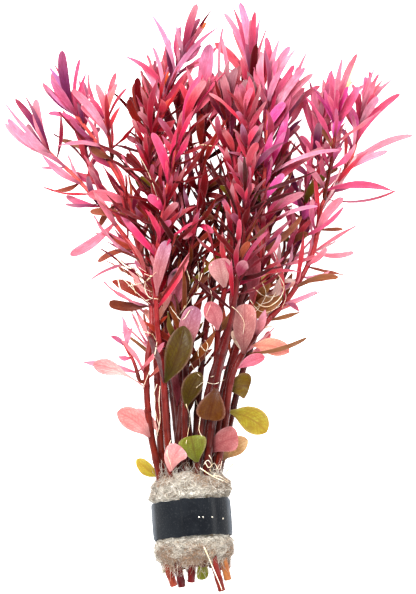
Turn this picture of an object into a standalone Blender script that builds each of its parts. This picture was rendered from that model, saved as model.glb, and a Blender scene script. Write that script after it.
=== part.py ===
"""A bunch of rotala, an aquarium stem plant: leafy stems held in a plug of wool by a dark strip.

The bunch lies on a surface. +Z is up, +Y runs from the cut ends towards the growing tips, and the
origin is under the middle of the strip, where it rests on the surface.

Routes and leaves are given as they are seen from above, in pixels of a 416 x 594 photograph, with
heights above the surface in millimetres. place() turns them into real positions.
"""

import math

import bmesh
import bpy
from mathutils import Matrix, Vector, noise
from mathutils.bvhtree import BVHTree

MM = 0.001

# Driving dimensions
STRIP_WIDTH = 14.0 * MM
STRIP_WIDTH_SEEN = 36.82  # pixels, taken back to the height of the surface
PIXEL = STRIP_WIDTH / STRIP_WIDTH_SEEN
VIEW_HEIGHT = 1200 * MM  # the eye, above the surface
VIEW_MIDDLE = (208, 297)
ORIGIN_SEEN = (192.4, 522.2)
GAP = 0.35 * MM  # between pieces that lie together
FLOOR_GAP = 0.15 * MM  # under the lowest leaves

# Stems
STEM_RADIUS = 1.45 * MM
TIP_RADIUS = 0.6 * MM
SHOOT_RADIUS = 0.8 * MM
STEM_STEP = 20.0 * MM  # between the points of a stem's curve
SHOOT_STEP = 9 * MM
LOOK_STEP = 1.2 * MM  # between the points where a leaf may grow
EVEN_SHARE = 0.2  # of the stem's length, before it tapers
SIX_SIDES = 1  # bevel_resolution
SMOOTH_STEPS = 8  # points of a smooth route for each point that is given

# The plug of wool and the strip round it
BUNDLE_TURN = math.radians(4.5)
PLUG_MIDDLE_HEIGHT = 13.6 * MM
PLUG_HALF_WIDTH = 13.6 * MM
PLUG_HALF_HEIGHT = 12.75 * MM
PLUG_ABOVE = 16.0 * MM  # from the middle of the strip to the wool's end, towards the tips
PLUG_BELOW = 15.5 * MM
PLUG_LEAN = 0.14  # towards the tips, for each unit of height
PLUG_FACETS = 20
STRIP_THICKNESS = 1.1 * MM
STRIP_SLACK = 0.3 * MM  # under the lapped end
STRIP_LAP_START = math.radians(66)  # round from +X, over the top
STRIP_LAP = math.radians(38)
STRIP_FACETS = 26
STRIP_CLIMB = math.radians(16)  # where the lapped end climbs over the beginning
PLUG_PROFILE = (  # way along the plug, and how far the wool swells there
    (-PLUG_BELOW, -1.2 * MM), (-14.2 * MM, 0.2 * MM), (-11.5 * MM, 0.7 * MM),
    (-8.7 * MM, 0.6 * MM), (-7.45 * MM, 0), (7.45 * MM, 0), (8.9 * MM, 1.1 * MM),
    (11.5 * MM, 1.2 * MM), (14 * MM, 0.2 * MM), (PLUG_ABOVE, -1.8 * MM),
)
LUMPS_PER_METRE = 120
LUMP_SIZE = 1.2 * MM
HOLE_LENGTH = 80 * MM
WELD = 0.01 * MM
HOLE_SIDES = 6
HOLE_CLEARANCE = 0.3 * MM
CLEAR_OF_WOOL = 0.6 * MM

# Leaves
LEAF_THICKNESS = 0.45 * MM
BROAD_THICKNESS = 0.8 * MM
LEAF_CEILING = 66 * MM
LEAF_MARGIN = 0.28 * MM
TIP_MARGIN = 1.015  # of the way along
PAST_FOOT = 0.15  # of the way along: nearer the foot, a stem's own leaves may meet
MIN_TIP_HEIGHT = 1.0  # millimetres
NARROW_ARCH = 0.06  # of the leaf's length
BROAD_ARCH = 0.08
MOST_BOW = 0.09  # of the leaf's length
FOOT_OUT = 0.3  # of the stem's radius at its tip: how far from the middle a leaf begins
FOOT_LEAN = 0.5  # how far a broad leaf's foot leans from straight up to its own direction
NEXT_SHARE = 0.02  # of the way along, for finding a leaf's direction
KEEL_PART = 0.3  # added to the share of the width for the depth of a leaf's keel
TURN_COST = 12  # degrees of roll that count as a millimetre of height
WIDE_LEAF = 8  # pixels: from here on a narrow leaf has a section more
WIDE_STATIONS = ((0.0, 0.2), (0.35, 0.92), (0.76, 0.88))  # (way along, share of the width)
NARROW_STATIONS = ((0.0, 0.25), (0.6, 1.0))
BROAD_STATIONS = ((0.0, 0.16), (0.3, 0.4), (0.58, 1.0), (0.86, 0.72))

STEM_COLOURS = ((0.42, 0.07, 0.06), (0.50, 0.10, 0.10), (0.36, 0.06, 0.08), (0.55, 0.14, 0.12))
LEAF_COLOURS = ((0.62, 0.16, 0.20), (0.40, 0.28, 0.06), (0.45, 0.10, 0.22), (0.70, 0.30, 0.25))
WOOL_COLOUR = (0.55, 0.53, 0.49)
STRIP_COLOUR = (0.030, 0.034, 0.042)
STEM_ROUGHNESS = 0.5
LEAF_ROUGHNESS = 0.45
WOOL_ROUGHNESS = 0.95
STRIP_ROUGHNESS = 0.55

# Each stem's route from the wool to its tip: x, y and height
ROUTES = {
    "stem_01": (
        (160, 480, 16.5), (152, 440, 18), (147, 405, 19), (146, 380, 19.5), (149, 350, 19),
        (152, 320, 17.5), (150, 292, 16), (143, 266, 15), (132, 250, 14.5), (122, 238, 14),
        (114, 222, 13.5), (105, 206, 13), (93, 194, 12.5), (80, 182, 11), (70, 170, 9.5),
        (58, 160, 7.5), (46, 149, 5.5),
    ),
    "stem_02": (
        (163, 480, 12), (160, 440, 12.5), (158, 400, 12.5), (156, 360, 12), (154, 325, 11),
        (149, 295, 10), (143, 265, 9.5), (137, 243, 10), (134, 222, 11), (130, 203, 12),
        (122, 184, 13), (114, 168, 14), (103, 152, 15), (92, 141, 16), (83, 133, 17),
        (76, 124, 18), (72, 110, 19),
    ),
    "stem_03": (
        (170, 480, 7.5), (168, 440, 7), (166, 400, 6.5), (162, 360, 6), (157, 325, 5.5),
        (150, 290, 5), (143, 262, 4.5), (136, 235, 4.5), (128, 217, 5), (117, 206, 5.5),
        (106, 197, 6), (97, 184, 6.5), (90, 170, 7), (84, 155, 8), (81, 138, 9), (81, 120, 10),
    ),
    "stem_04": (
        (182, 480, 4.6), (178, 440, 4.2), (173, 400, 4), (168, 360, 3.6), (163, 320, 4),
        (160, 285, 4.5), (158, 255, 5), (157, 225, 6), (155, 200, 8), (152, 175, 10),
        (150, 150, 12), (147, 130, 14), (143, 112, 16),
    ),
    "stem_05": (
        (184, 480, 9.5), (181, 440, 9.5), (177, 400, 9.5), (171, 360, 10), (166, 320, 11),
        (160, 285, 12.5), (155, 250, 15), (151, 215, 18), (149, 185, 22), (149, 160, 27),
        (151, 135, 31), (157, 116, 34), (164, 100, 37), (172, 85, 39), (180, 69, 41),
        (185, 55, 43),
    ),
    "stem_06": (
        (171, 480, 21), (168, 445, 24), (165, 410, 26), (163, 375, 27), (161, 345, 28),
        (156, 312, 29), (155, 285, 30), (157, 255, 31), (159, 238, 32), (163, 215, 33),
        (167, 190, 34), (170, 170, 35), (176, 152, 36), (184, 136, 37), (190, 120, 38),
        (196, 105, 39),
    ),
    "stem_07": (
        (193, 480, 13.6), (190, 440, 14.5), (185, 400, 16), (180, 360, 18), (176, 320, 19.5),
        (172, 285, 20.5), (168, 250, 22), (165, 220, 23), (162, 190, 24), (160, 165, 25),
        (160, 140, 26), (162, 120, 26.5), (163, 100, 27), (160, 85, 28),
    ),
    "stem_08": (
        (186, 480, 18.4), (185, 445, 19.5), (185, 410, 20.5), (185, 380, 21.5), (186, 350, 22),
        (183, 322, 22.5), (182, 300, 23.5), (186, 275, 25), (192, 250, 27), (196, 225, 28),
        (199, 200, 29), (201, 175, 30), (203, 150, 31), (204, 130, 32), (205, 112, 33),
    ),
    "stem_09": (
        (204, 480, 17.8), (211, 445, 19), (214, 405, 20.5), (216, 370, 21.5), (217, 335, 23),
        (221, 308, 25), (226, 285, 28), (231, 260, 31), (233, 235, 33), (234, 205, 34),
        (234, 180, 35), (234, 158, 36), (230, 143, 37), (225, 125, 38), (222, 105, 39),
    ),
    "stem_10": (
        (197, 480, 22.4), (200, 440, 24), (206, 400, 25.5), (214, 370, 26.5), (223, 345, 27),
        (235, 313, 26), (246, 285, 24.5), (253, 255, 24), (257, 225, 24.5), (258, 195, 25),
        (258, 165, 26), (257, 140, 27), (256, 115, 28), (254, 95, 29), (252, 78, 30),
    ),
    "stem_11": (
        (211, 480, 12.8), (217, 440, 13.6), (224, 400, 14.5), (232, 365, 15), (241, 335, 15.5),
        (251, 305, 19), (259, 280, 24), (262, 255, 29), (262, 230, 32), (263, 205, 33.5),
        (265, 180, 34.5), (266, 155, 35.5), (267, 135, 36), (268, 115, 37), (268, 95, 38),
    ),
    "stem_12": (
        (217, 480, 17.3), (222, 440, 19.5), (228, 408, 20.5), (232, 378, 20.5),
        (237, 356, 19.5), (246, 343, 18), (258, 332, 16), (270, 320, 14.5), (282, 307, 13.5),
        (292, 293, 13), (301, 278, 12.5), (309, 262, 12), (315, 247, 12), (320, 230, 12),
        (321, 214, 12), (323, 203, 12.5), (331, 192, 12.5), (341, 178, 12), (348, 166, 11.5),
        (353, 153, 11), (356, 140, 10.5), (359, 127, 10), (362, 113, 10),
    ),
    "stem_13": (
        (207, 480, 7.6), (213, 440, 8), (221, 400, 8.5), (231, 360, 9), (243, 325, 9),
        (255, 300, 9), (268, 280, 9), (281, 264, 9.5), (292, 246, 10), (301, 228, 11),
        (306, 208, 12.5), (308, 188, 14), (309, 170, 15.5), (312, 155, 17), (316, 140, 18.5),
        (318, 125, 20),
    ),
    "stem_14": (
        (196, 480, 4.2), (203, 440, 4), (212, 400, 4), (222, 360, 4), (233, 325, 4),
        (246, 295, 4.5), (257, 270, 5), (266, 245, 6), (272, 220, 7.5), (277, 195, 9.5),
        (280, 170, 12), (282, 148, 15), (284, 128, 18), (288, 110, 21),
    ),
    "stem_15": (
        (196, 480, 8.9), (196, 440, 8.5), (198, 400, 8.5), (202, 360, 9), (207, 320, 10),
        (212, 285, 12), (218, 250, 14.5), (224, 215, 17), (229, 180, 20), (233, 150, 22),
        (236, 125, 24), (236, 102, 26),
    ),
    "stem_16": (
        (175, 480, 15), (178, 440, 13.6), (183, 400, 12), (187, 360, 11.6), (189, 320, 13),
        (189, 285, 15), (187, 250, 17.5), (184, 220, 19.5), (181, 190, 21), (179, 160, 22),
        (178, 135, 24), (178, 115, 26),
    ),
    "stem_17": (
        (219, 480, 10.8), (226, 440, 9.8), (234, 405, 9), (243, 370, 8.5), (254, 340, 8),
        (265, 312, 7.5), (277, 288, 7), (288, 267, 6.5), (297, 248, 6.5), (305, 228, 6.5),
        (312, 205, 7), (318, 185, 8), (322, 165, 9.5), (325, 148, 11), (326, 132, 12),
        (327, 115, 13),
    ),
    "stem_18": (
        (207, 480, 22), (210, 445, 25), (213, 410, 28.5), (218, 375, 31.5), (226, 345, 34),
        (232, 315, 35.5), (236, 290, 37), (240, 262, 38.5), (243, 235, 39.5), (246, 205, 40.5),
        (248, 175, 41.5), (249, 150, 42.5), (248, 130, 43), (245, 110, 44),
    ),
}

# Side shoots, from the fork, each with the stem that it grows from
SHOOTS = {
    "side_shoot_01": (
        "stem_01",
        ((146, 392, 19.4), (139, 380, 19.5), (136, 367, 19), (130, 355, 18), (124, 344, 17)),
    ),
    "side_shoot_02": (
        "stem_02",
        ((114, 168, 14), (112, 155, 17), (110, 143, 19), (108, 130, 20.5), (105, 115, 22)),
    ),
    "side_shoot_03": (
        "stem_12",
        (
            (322, 208, 12.3), (325, 192, 16), (329, 174, 19), (332, 158, 21), (334, 142, 22.5),
            (335, 128, 24), (336, 112, 25),
        ),
    ),
}

# Where the cut ends show below the wool: x, y and height
CUT_ENDS = {
    "stem_01": (174, 586, 15), "stem_02": (172, 572, 9), "stem_03": (181, 580, 5.5),
    "stem_04": (190, 571, 3.2), "stem_05": (192, 568, 8), "stem_06": (182, 587, 20),
    "stem_07": (198, 566, 13), "stem_08": (191, 582, 17), "stem_09": (213, 567, 17.5),
    "stem_10": (203, 565, 21), "stem_11": (219, 570, 12), "stem_12": (228, 580, 16.5),
    "stem_13": (218, 574, 6), "stem_14": (204, 572, 3.2), "stem_15": (205, 568, 8.5),
    "stem_16": (183, 568, 14), "stem_17": (227, 568, 9.5), "stem_18": (222, 591, 21),
}

# Narrow leaves that stand out: the seen foot, the seen tip, width in pixels, sideways bow in pixels
# and how far the tip rises in millimetres
LEAVES = {
    "stem_01": (
        (47, 150, 36, 99, 9, 3, 9), (46, 149, 15, 99, 7, -3, 4), (46, 150, 24, 94, 4, -2, 12),
        (53, 157, 8, 119, 8, 4, 2), (49, 153, 4, 102, 4, 2, 7), (50, 154, 5, 123, 6, 5, -2),
        (57, 159, 60, 110, 4, -3, 11), (66, 168, 38, 168, 3, 0, 0),
        (70, 170, 30, 150, 4, -6, -5), (80, 182, 55, 190, 5, 3, -7),
        (100, 201, 65, 204, 4, 2, 4), (114, 222, 70, 255, 10, 3, 3),
        (105, 206, 88, 176, 6, 3, 6), (132, 250, 98, 262, 6, -4, 5),
    ),
    "stem_02": (
        (74, 119, 41, 80, 3, 2, 5), (73, 117, 47, 65, 5, -3, 9), (73, 115, 53, 62, 3, -2, 14),
        (72, 112, 63, 52, 10, 3, 12), (72, 110, 80, 59, 4, 3, 16), (73, 113, 87, 72, 4, 3, 10),
        (130, 204, 88, 195, 11, -3, 6), (134, 220, 90, 212, 8, -3, 5),
        (92, 141, 70, 118, 5, 2, 9), (143, 264, 88, 282, 3, -12, 8),
        (139, 250, 112, 237, 5, 2, 7), (103, 152, 80, 142, 5, -3, 6),
        (170, 562, 163, 573, 5, 0, 0),
    ),
    "side_shoot_02": (
        (110, 140, 72, 90, 8, -4, 6), (110, 137, 81, 106, 8, -3, 2),
        (109, 134, 96, 84, 7, -3, 9), (106, 122, 86, 94, 4, -2, 5), (105, 115, 103, 96, 4, 0, 8),
        (105, 116, 112, 86, 4, 2, 11), (106, 117, 117, 84, 5, 2, 7),
        (107, 122, 127, 88, 3, 3, 9), (109, 134, 121, 106, 4, 2, 4), (112, 158, 91, 147, 7, 2, 4),
    ),
    "stem_03": (
        (81, 122, 70, 96, 5, 2, 8), (81, 128, 92, 100, 5, 2, 5), (84, 155, 60, 140, 5, -3, -3),
        (90, 170, 108, 148, 5, 3, 4), (97, 184, 74, 176, 5, -3, -4),
        (117, 206, 100, 226, 6, -3, -3), (84, 150, 100, 128, 6, 3, 2),
    ),
    "stem_04": (
        (145, 122, 135, 83, 8, 2, 7), (147, 130, 129, 99, 8, 3, 5), (144, 115, 146, 84, 5, 2, 8),
        (149, 143, 127, 136, 6, 3, 3), (152, 177, 127, 153, 7, 4, 2),
        (154, 196, 136, 178, 6, 3, 2), (157, 225, 138, 205, 6, 3, 2),
    ),
    "stem_05": (
        (177, 74, 151, 14, 5, -4, 8), (184, 56, 176, 25, 4, 0, 8), (185, 58, 197, 4, 8, 2, 12),
        (185, 60, 200, 18, 6, 3, 6), (184, 61, 206, 22, 6, 2, 2), (184, 62, 212, 10, 3, 2, 9),
        (164, 100, 220, 26, 5, 8, 16), (181, 68, 177, 42, 3, 0, 12),
        (168, 92, 124, 56, 5, -12, 2), (163, 102, 153, 47, 4, -3, 6),
        (160, 108, 140, 62, 6, -4, 2), (157, 116, 178, 96, 5, 2, 6),
        (151, 135, 138, 112, 6, -3, 3), (149, 160, 160, 134, 5, 3, 5),
    ),
    "stem_06": (
        (184, 136, 200, 76, 8, 4, 9), (168, 188, 152, 133, 9, -4, 6),
        (163, 214, 148, 196, 9, -2, 5), (190, 120, 180, 84, 6, -3, 7),
        (196, 106, 204, 78, 5, 2, 10), (195, 108, 186, 66, 5, -2, 12),
        (176, 152, 158, 118, 6, -3, 5), (161, 224, 178, 203, 7, 3, 5),
        (159, 238, 171, 221, 7, 3, 7),
    ),
    "stem_07": (
        (163, 98, 168, 72, 7, 2, 8), (160, 87, 150, 60, 5, 2, 8), (161, 88, 163, 60, 5, 0, 12),
        (160, 140, 136, 122, 6, 3, 3), (161, 168, 138, 146, 6, 3, 3),
        (160, 165, 181, 150, 6, -3, 3), (163, 196, 141, 176, 6, 3, 3),
    ),
    "stem_08": (
        (205, 114, 210, 44, 14, 3, 12), (200, 195, 222, 179, 7, 3, 6),
        (198, 207, 185, 213, 7, -1, 5), (198, 209, 214, 219, 7, -1, 4),
        (200, 190, 190, 176, 7, 3, 7), (199, 196, 224, 199, 6, 3, 4),
        (202, 172, 197, 153, 6, -2, 6), (203, 150, 202, 114, 8, 2, 6),
        (196, 225, 182, 238, 6, 3, 5), (196, 225, 213, 233, 6, 3, 5),
        (205, 116, 192, 92, 6, -3, 7), (204, 126, 218, 100, 6, 3, 4),
    ),
    "stem_09": (
        (230, 143, 222, 37, 4, -3, 6), (225, 125, 236, 68, 9, 3, 4),
        (230, 142, 247, 80, 8, 4, 3), (226, 130, 221, 72, 8, -3, 8), (234, 157, 222, 130, 7, -3, 6),
        (222, 107, 223, 27, 3, 4, 12), (222, 107, 214, 82, 6, -2, 5), (234, 180, 247, 158, 6, 3, 5),
        (234, 205, 220, 186, 6, -3, 5), (223, 112, 229, 60, 6, 2, 10),
    ),
    "stem_10": (
        (254, 82, 224, 13, 6, -5, 8), (253, 80, 232, 5, 5, -3, 12), (253, 79, 240, 2, 8, -3, 16),
        (252, 79, 250, 18, 5, 0, 14), (252, 80, 255, 11, 6, 2, 18), (252, 81, 261, 15, 5, 3, 12),
        (253, 84, 233, 27, 7, -3, 4), (253, 86, 268, 25, 3, 3, 8), (254, 92, 215, 43, 9, -5, 3),
        (253, 84, 246, 45, 7, -2, 8), (253, 84, 256, 46, 7, 2, 6), (257, 125, 243, 98, 6, -3, 4),
        (258, 165, 242, 143, 7, -3, 4), (200, 561, 202, 580, 12, 0, -3),
    ),
    "stem_11": (
        (268, 98, 266, 37, 7, -3, 10), (268, 97, 280, 38, 5, 3, 8), (268, 100, 290, 46, 8, 4, 4),
        (268, 102, 297, 48, 5, 4, 7), (267, 134, 285, 103, 9, 4, 5), (267, 136, 305, 68, 8, 6, 2),
        (267, 140, 313, 74, 7, 7, -2), (266, 150, 305, 88, 9, 6, -5),
        (265, 178, 340, 150, 4, 12, 0), (264, 198, 325, 148, 7, 6, -5),
        (262, 230, 318, 206, 4, 8, -4), (268, 110, 263, 44, 4, -4, 15),
        (268, 104, 277, 60, 6, 2, 12), (266, 155, 250, 132, 6, -3, 4),
        (263, 205, 249, 190, 6, -3, 3),
    ),
    "stem_14": (
        (286, 118, 320, 86, 6, 4, 9), (288, 112, 308, 50, 4, 3, 10), (279, 180, 297, 160, 8, 3, 6),
        (287, 114, 277, 76, 6, -3, 6), (288, 112, 292, 74, 6, 2, 9), (285, 124, 300, 102, 6, 3, 3),
        (283, 145, 300, 126, 6, 3, 3), (284, 130, 272, 108, 5, -3, 2),
        (276, 198, 258, 178, 6, -3, 3), (266, 245, 250, 228, 6, -3, 2),
    ),
    "stem_13": (
        (314, 148, 309, 79, 5, -3, 9), (318, 128, 314, 92, 6, 0, 9), (318, 127, 322, 92, 5, 2, 6),
        (303, 222, 317, 204, 11, 4, 7), (307, 206, 325, 176, 9, 4, 6), (306, 210, 286, 196, 9, -3, 5),
        (292, 246, 308, 234, 7, 3, 5), (292, 246, 276, 232, 6, -3, 4),
        (309, 178, 294, 166, 6, -3, 3), (312, 155, 300, 136, 6, -3, 3),
    ),
    "stem_15": (
        (236, 104, 240, 66, 7, 2, 8), (236, 106, 228, 78, 6, -2, 4), (236, 118, 250, 98, 6, 2, 3),
        (229, 180, 244, 164, 6, 3, 4), (224, 215, 210, 200, 6, -3, 4),
        (218, 250, 204, 236, 6, -3, 4),
    ),
    "stem_16": (
        (178, 117, 172, 86, 7, -2, 7), (178, 118, 186, 92, 6, 2, 5), (179, 150, 190, 132, 6, 3, 3),
        (181, 190, 170, 172, 6, -3, 4), (184, 220, 176, 202, 6, -2, 4),
        (187, 250, 176, 236, 6, -3, 4),
    ),
    "stem_17": (
        (327, 120, 324, 80, 4, -2, 8), (327, 118, 332, 70, 6, 2, 9), (326, 130, 355, 80, 4, 6, 10),
        (326, 135, 316, 108, 5, -2, 3), (322, 165, 306, 148, 6, -3, 2),
        (318, 185, 338, 168, 6, 3, -2), (297, 248, 282, 238, 5, -3, 2),
        (312, 205, 298, 190, 6, -3, -2),
    ),
    "side_shoot_03": (
        (336, 114, 338, 69, 4, 0, 10), (336, 113, 343, 55, 5, 2, 15), (336, 114, 350, 60, 4, 2, 10),
        (336, 115, 356, 55, 6, 3, 12), (336, 118, 358, 63, 8, 4, 5), (335, 124, 364, 85, 5, 4, 2),
        (334, 140, 345, 112, 8, 3, 4), (335, 126, 328, 96, 5, -2, 6), (333, 150, 322, 130, 6, -3, 3),
        (331, 164, 342, 148, 5, 2, 3),
    ),
    "stem_12": (
        (362, 115, 370, 71, 4, -2, 9), (362, 114, 375, 67, 4, 2, 12), (362, 115, 378, 75, 4, 2, 6),
        (362, 116, 385, 78, 4, 3, 8), (361, 118, 396, 77, 4, 5, 4), (357, 138, 383, 85, 7, 5, 0),
        (354, 150, 400, 94, 7, 14, -2), (344, 176, 413, 135, 7, 8, -6),
        (326, 200, 397, 190, 3, -9, 6), (330, 194, 354, 187, 5, 2, -4),
        (320, 236, 343, 198, 9, 5, 4), (321, 229, 343, 229, 4, 0, -4),
        (315, 252, 354, 252, 6, -4, -5), (302, 277, 330, 271, 4, -3, -3),
        (300, 280, 282, 281, 4, 0, 3), (287, 301, 299, 312, 5, 2, -4),
        (357, 137, 348, 106, 8, -3, 4), (361, 118, 352, 84, 5, -3, 3),
        (348, 166, 374, 152, 6, 3, -5), (353, 153, 340, 128, 5, -3, 4),
    ),
    "side_shoot_01": (
        (125, 346, 122, 316, 5, -2, 4), (127, 350, 133, 327, 5, 3, 2),
        (126, 348, 110, 336, 5, -2, -3), (131, 357, 118, 356, 5, 2, -4),
    ),
    "stem_18": (
        (245, 112, 240, 84, 6, -2, 5), (246, 114, 252, 88, 6, 2, 5), (248, 130, 236, 112, 6, -2, 3),
        (248, 172, 258, 143, 8, 3, 4), (246, 205, 234, 184, 6, -3, 4),
        (246, 205, 254, 184, 6, 3, 4), (243, 235, 231, 214, 7, -3, 4),
        (240, 262, 250, 242, 7, 3, 4), (249, 150, 258, 126, 6, 3, 4),
    ),
}

# Broad lower leaves: the stem, the seen foot, the seen tip, width in pixels, sideways bow in pixels,
# how far the tip rises in millimetres, and the roll in degrees
BROAD_LEAVES = (
    ("stem_06", 160, 300, 168, 241, 13, 3, 3, 10), ("stem_07", 175, 314, 177, 268, 18, 0, 5, 0),
    ("stem_09", 225, 290, 218, 259, 22, 0, 8, 0), ("stem_11", 251, 303, 254, 255, 15, 0, 12, 0),
    ("stem_12", 239, 354, 245, 304, 23, 0, 10, 0), ("stem_08", 187, 362, 196, 307, 20, 3, 6, 0),
    ("stem_06", 165, 384, 184, 326, 26, -3, 4, 0), ("stem_06", 163, 385, 150, 336, 10, -2, 8, 0),
    ("stem_02", 151, 302, 112, 281, 11, -3, 3, 0), ("stem_02", 151, 306, 109, 303, 10, 2, -3, 0),
    ("stem_01", 143, 390, 93, 364, 16, -4, -4, 0), ("stem_12", 246, 343, 289, 353, 19, 6, 2, 20),
    ("stem_12", 234, 368, 265, 357, 12, 2, 2, 10), ("stem_18", 216, 386, 209, 420, 28, 0, 2, 0),
    ("stem_11", 226, 392, 250, 386, 26, 2, 1, 0), ("stem_12", 229, 409, 267, 432, 26, 4, -1, 0),
    ("stem_09", 211, 453, 238, 437, 24, 3, 7, 0), ("stem_17", 222, 462, 248, 440, 18, 3, 4, 0),
    ("stem_10", 199, 465, 191, 436, 27, 0, 4, 0), ("stem_06", 171, 474, 181, 447, 22, 3, 8, 20),
    ("stem_01", 151, 438, 117, 412, 22, -4, -4, 0), ("stem_02", 161, 432, 135, 411, 10, -3, 9, 0),
    ("stem_02", 162, 478, 137, 459, 14, 2, -6, 0), ("stem_07", 187, 418, 193, 386, 9, 0, 6, 0),
    ("stem_09", 217, 334, 206, 303, 18, -3, 4, 0), ("stem_18", 238, 280, 247, 262, 12, 2, 4, 0),
    ("stem_13", 243, 325, 282, 298, 17, 4, 5, 0), ("stem_13", 252, 306, 270, 282, 13, 3, 6, 0),
    ("stem_08", 187, 410, 201, 373, 20, 3, 5, 0), ("stem_05", 178, 408, 174, 371, 10, -2, 8, 0),
)

# What is tried for a leaf until it is clear of the others: a change of the tip's height in
# millimetres, and a change of the roll in degrees
TRIES = sorted(
    ((lift, turn) for lift in (0, 2, -2, 4, -4, 6, -6, 9, -9, 13) for turn in (0, 30, -30, 60, -60)),
    key=lambda change: abs(change[0]) + abs(change[1]) / TURN_COST,
)


def place(x, y, height_mm):
    """The point at this height that is seen at this pixel: what is nearer the eye looks larger."""
    height = height_mm * MM
    shrink = PIXEL * (1 - height / VIEW_HEIGHT)
    middle_x = (VIEW_MIDDLE[0] - ORIGIN_SEEN[0]) * PIXEL
    middle_y = (ORIGIN_SEEN[1] - VIEW_MIDDLE[1]) * PIXEL
    return Vector(
        (
            middle_x + (x - VIEW_MIDDLE[0]) * shrink,
            middle_y + (VIEW_MIDDLE[1] - y) * shrink,
            height,
        )
    )


def smooth(points):
    """A smooth line through the points, with SMOOTH_STEPS points for each that is given."""
    padded = [2 * points[0] - points[1], *points, 2 * points[-1] - points[-2]]
    line = []
    for a, b, c, d in zip(padded, padded[1:], padded[2:], padded[3:]):
        for step in range(SMOOTH_STEPS):
            t = step / SMOOTH_STEPS
            line.append(
                0.5 * (2 * b + (c - a) * t + (2 * a - 5 * b + 4 * c - d) * t**2
                       + (3 * b - a - 3 * c + d) * t**3)
            )
    line.append(points[-1].copy())
    return line


def lengths(line):
    """The way along the line to each of its points."""
    total = [0.0]
    for a, b in zip(line, line[1:]):
        total.append(total[-1] + (b - a).length)
    return total


def resample(line, step):
    """The same line with its points about a step apart."""
    total = lengths(line)
    count = max(2, round(total[-1] / step))
    points = []
    k = 0
    for i in range(count + 1):
        want = total[-1] * i / count
        while k < len(line) - 2 and total[k + 1] < want:
            k += 1
        points.append(line[k].lerp(line[k + 1], (want - total[k]) / (total[k + 1] - total[k])))
    return points


def along_bundle():
    """The direction of the plug of wool, towards the tips."""
    return Vector((-math.sin(BUNDLE_TURN), math.cos(BUNDLE_TURN), 0))


def stem_line(name):
    """A stem's line: its cut end, the straight stretch through the wool, and the route to its tip."""
    route = [place(*point) for point in ROUTES[name]]
    way = along_bundle()
    here = route[0].dot(way)
    lean = route[0].z * PLUG_LEAN
    bottom = route[0] + way * (lean - PLUG_BELOW - CLEAR_OF_WOOL - here)
    route[0] = route[0] + way * (lean + PLUG_ABOVE + CLEAR_OF_WOOL - here)
    return [place(*CUT_ENDS[name]), bottom] + resample(smooth(route), STEM_STEP)


def shoot_line(name):
    """A side shoot's line, from just outside the stem that it grows from."""
    parent, points = SHOOTS[name]
    trunk = resample(stem_line(parent), LOOK_STEP)
    line = smooth([place(*point) for point in points])
    clear = STEM_RADIUS + SHOOT_RADIUS + GAP
    while min((point - line[0]).length for point in trunk) < clear:
        line.pop(0)
    return resample(line, SHOOT_STEP)


def stem_radius(name, share):
    """The radius at this share of the way along: even through the wool, then tapering to the tip."""
    if name in SHOOTS:
        return SHOOT_RADIUS + (TIP_RADIUS - SHOOT_RADIUS) * share
    return STEM_RADIUS + (TIP_RADIUS - STEM_RADIUS) * max(0.0, (share - EVEN_SHARE) / (1 - EVEN_SHARE))


def nearest(line, x, y):
    """The place on the line, short of its end, that is seen nearest to a pixel: its index."""
    best = 0
    closest = math.inf
    for i, point in enumerate(line[:-1]):
        seen = place(x, y, point.z / MM)
        if (seen - point).length < closest:
            closest = (seen - point).length
            best = i
    return best


def bent(foot, tip, bow, arch):
    """A leaf's middle line from its foot to its tip, bowed sideways and arched upwards."""
    across = Vector((0, 0, 1)).cross(tip - foot).normalized()
    most = MOST_BOW * (tip - foot).length
    middle = (foot + tip) / 2 + across * max(-most, min(most, bow)) * 2 + Vector((0, 0, arch * 2))

    def at(share):
        return foot.lerp(middle, share).lerp(middle.lerp(tip, share), share)

    return at


def leaf_rings(at, stations, width, thickness, roll, sides, margin=0.0):
    """Cross-sections along a leaf's middle line: flat above with a keel below, or a lens."""
    rings = []
    for share, part in stations:
        here = at(share)
        way = (at(share + NEXT_SHARE) - at(share - NEXT_SHARE)).normalized()
        across = way.cross(Vector((0, 0, 1))).normalized()
        across = Matrix.Rotation(roll, 3, way) @ across
        up = across.cross(way)
        half = across * (width * part / 2 + margin)
        deep = up * (thickness * min(1.0, part + KEEL_PART) + margin)
        ring = [here - half, here + half, here - deep]
        if sides == 4:
            ring = [here - half, here + deep / 2, here + half, here - deep / 2]
        elif margin:
            ring = [here - half + up * margin, here + half + up * margin, here - deep]
        rings.append(ring)
    return rings


def loft(rings, tip):
    """Vertices and faces of a closed solid through the rings, which ends in a point."""
    sides = len(rings[0])
    vertices = [point for ring in rings for point in ring] + [tip]
    faces = [tuple(range(sides))]
    for start in range(0, sides * (len(rings) - 1), sides):
        for i in range(sides):
            j = (i + 1) % sides
            faces.append((start + i, start + sides + i, start + sides + j, start + j))
    last = sides * (len(rings) - 1)
    for i in range(sides):
        faces.append((last + i, len(vertices) - 1, last + (i + 1) % sides))
    return vertices, faces


def tube(line, radii, sides=8):
    """A closed tube round a line, for testing what is clear of it."""
    rings = []
    for i, point in enumerate(line):
        way = (line[min(i + 1, len(line) - 1)] - line[max(i - 1, 0)]).normalized()
        across = way.cross(Vector((0, 0, 1))).normalized()
        up = across.cross(way)
        turns = [2 * math.pi * k / sides for k in range(sides)]
        rings.append([point + (across * math.cos(a) + up * math.sin(a)) * radii[i] for a in turns])
    return loft(rings, line[-1] + (line[-1] - line[-2]).normalized() * radii[-1])


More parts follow.
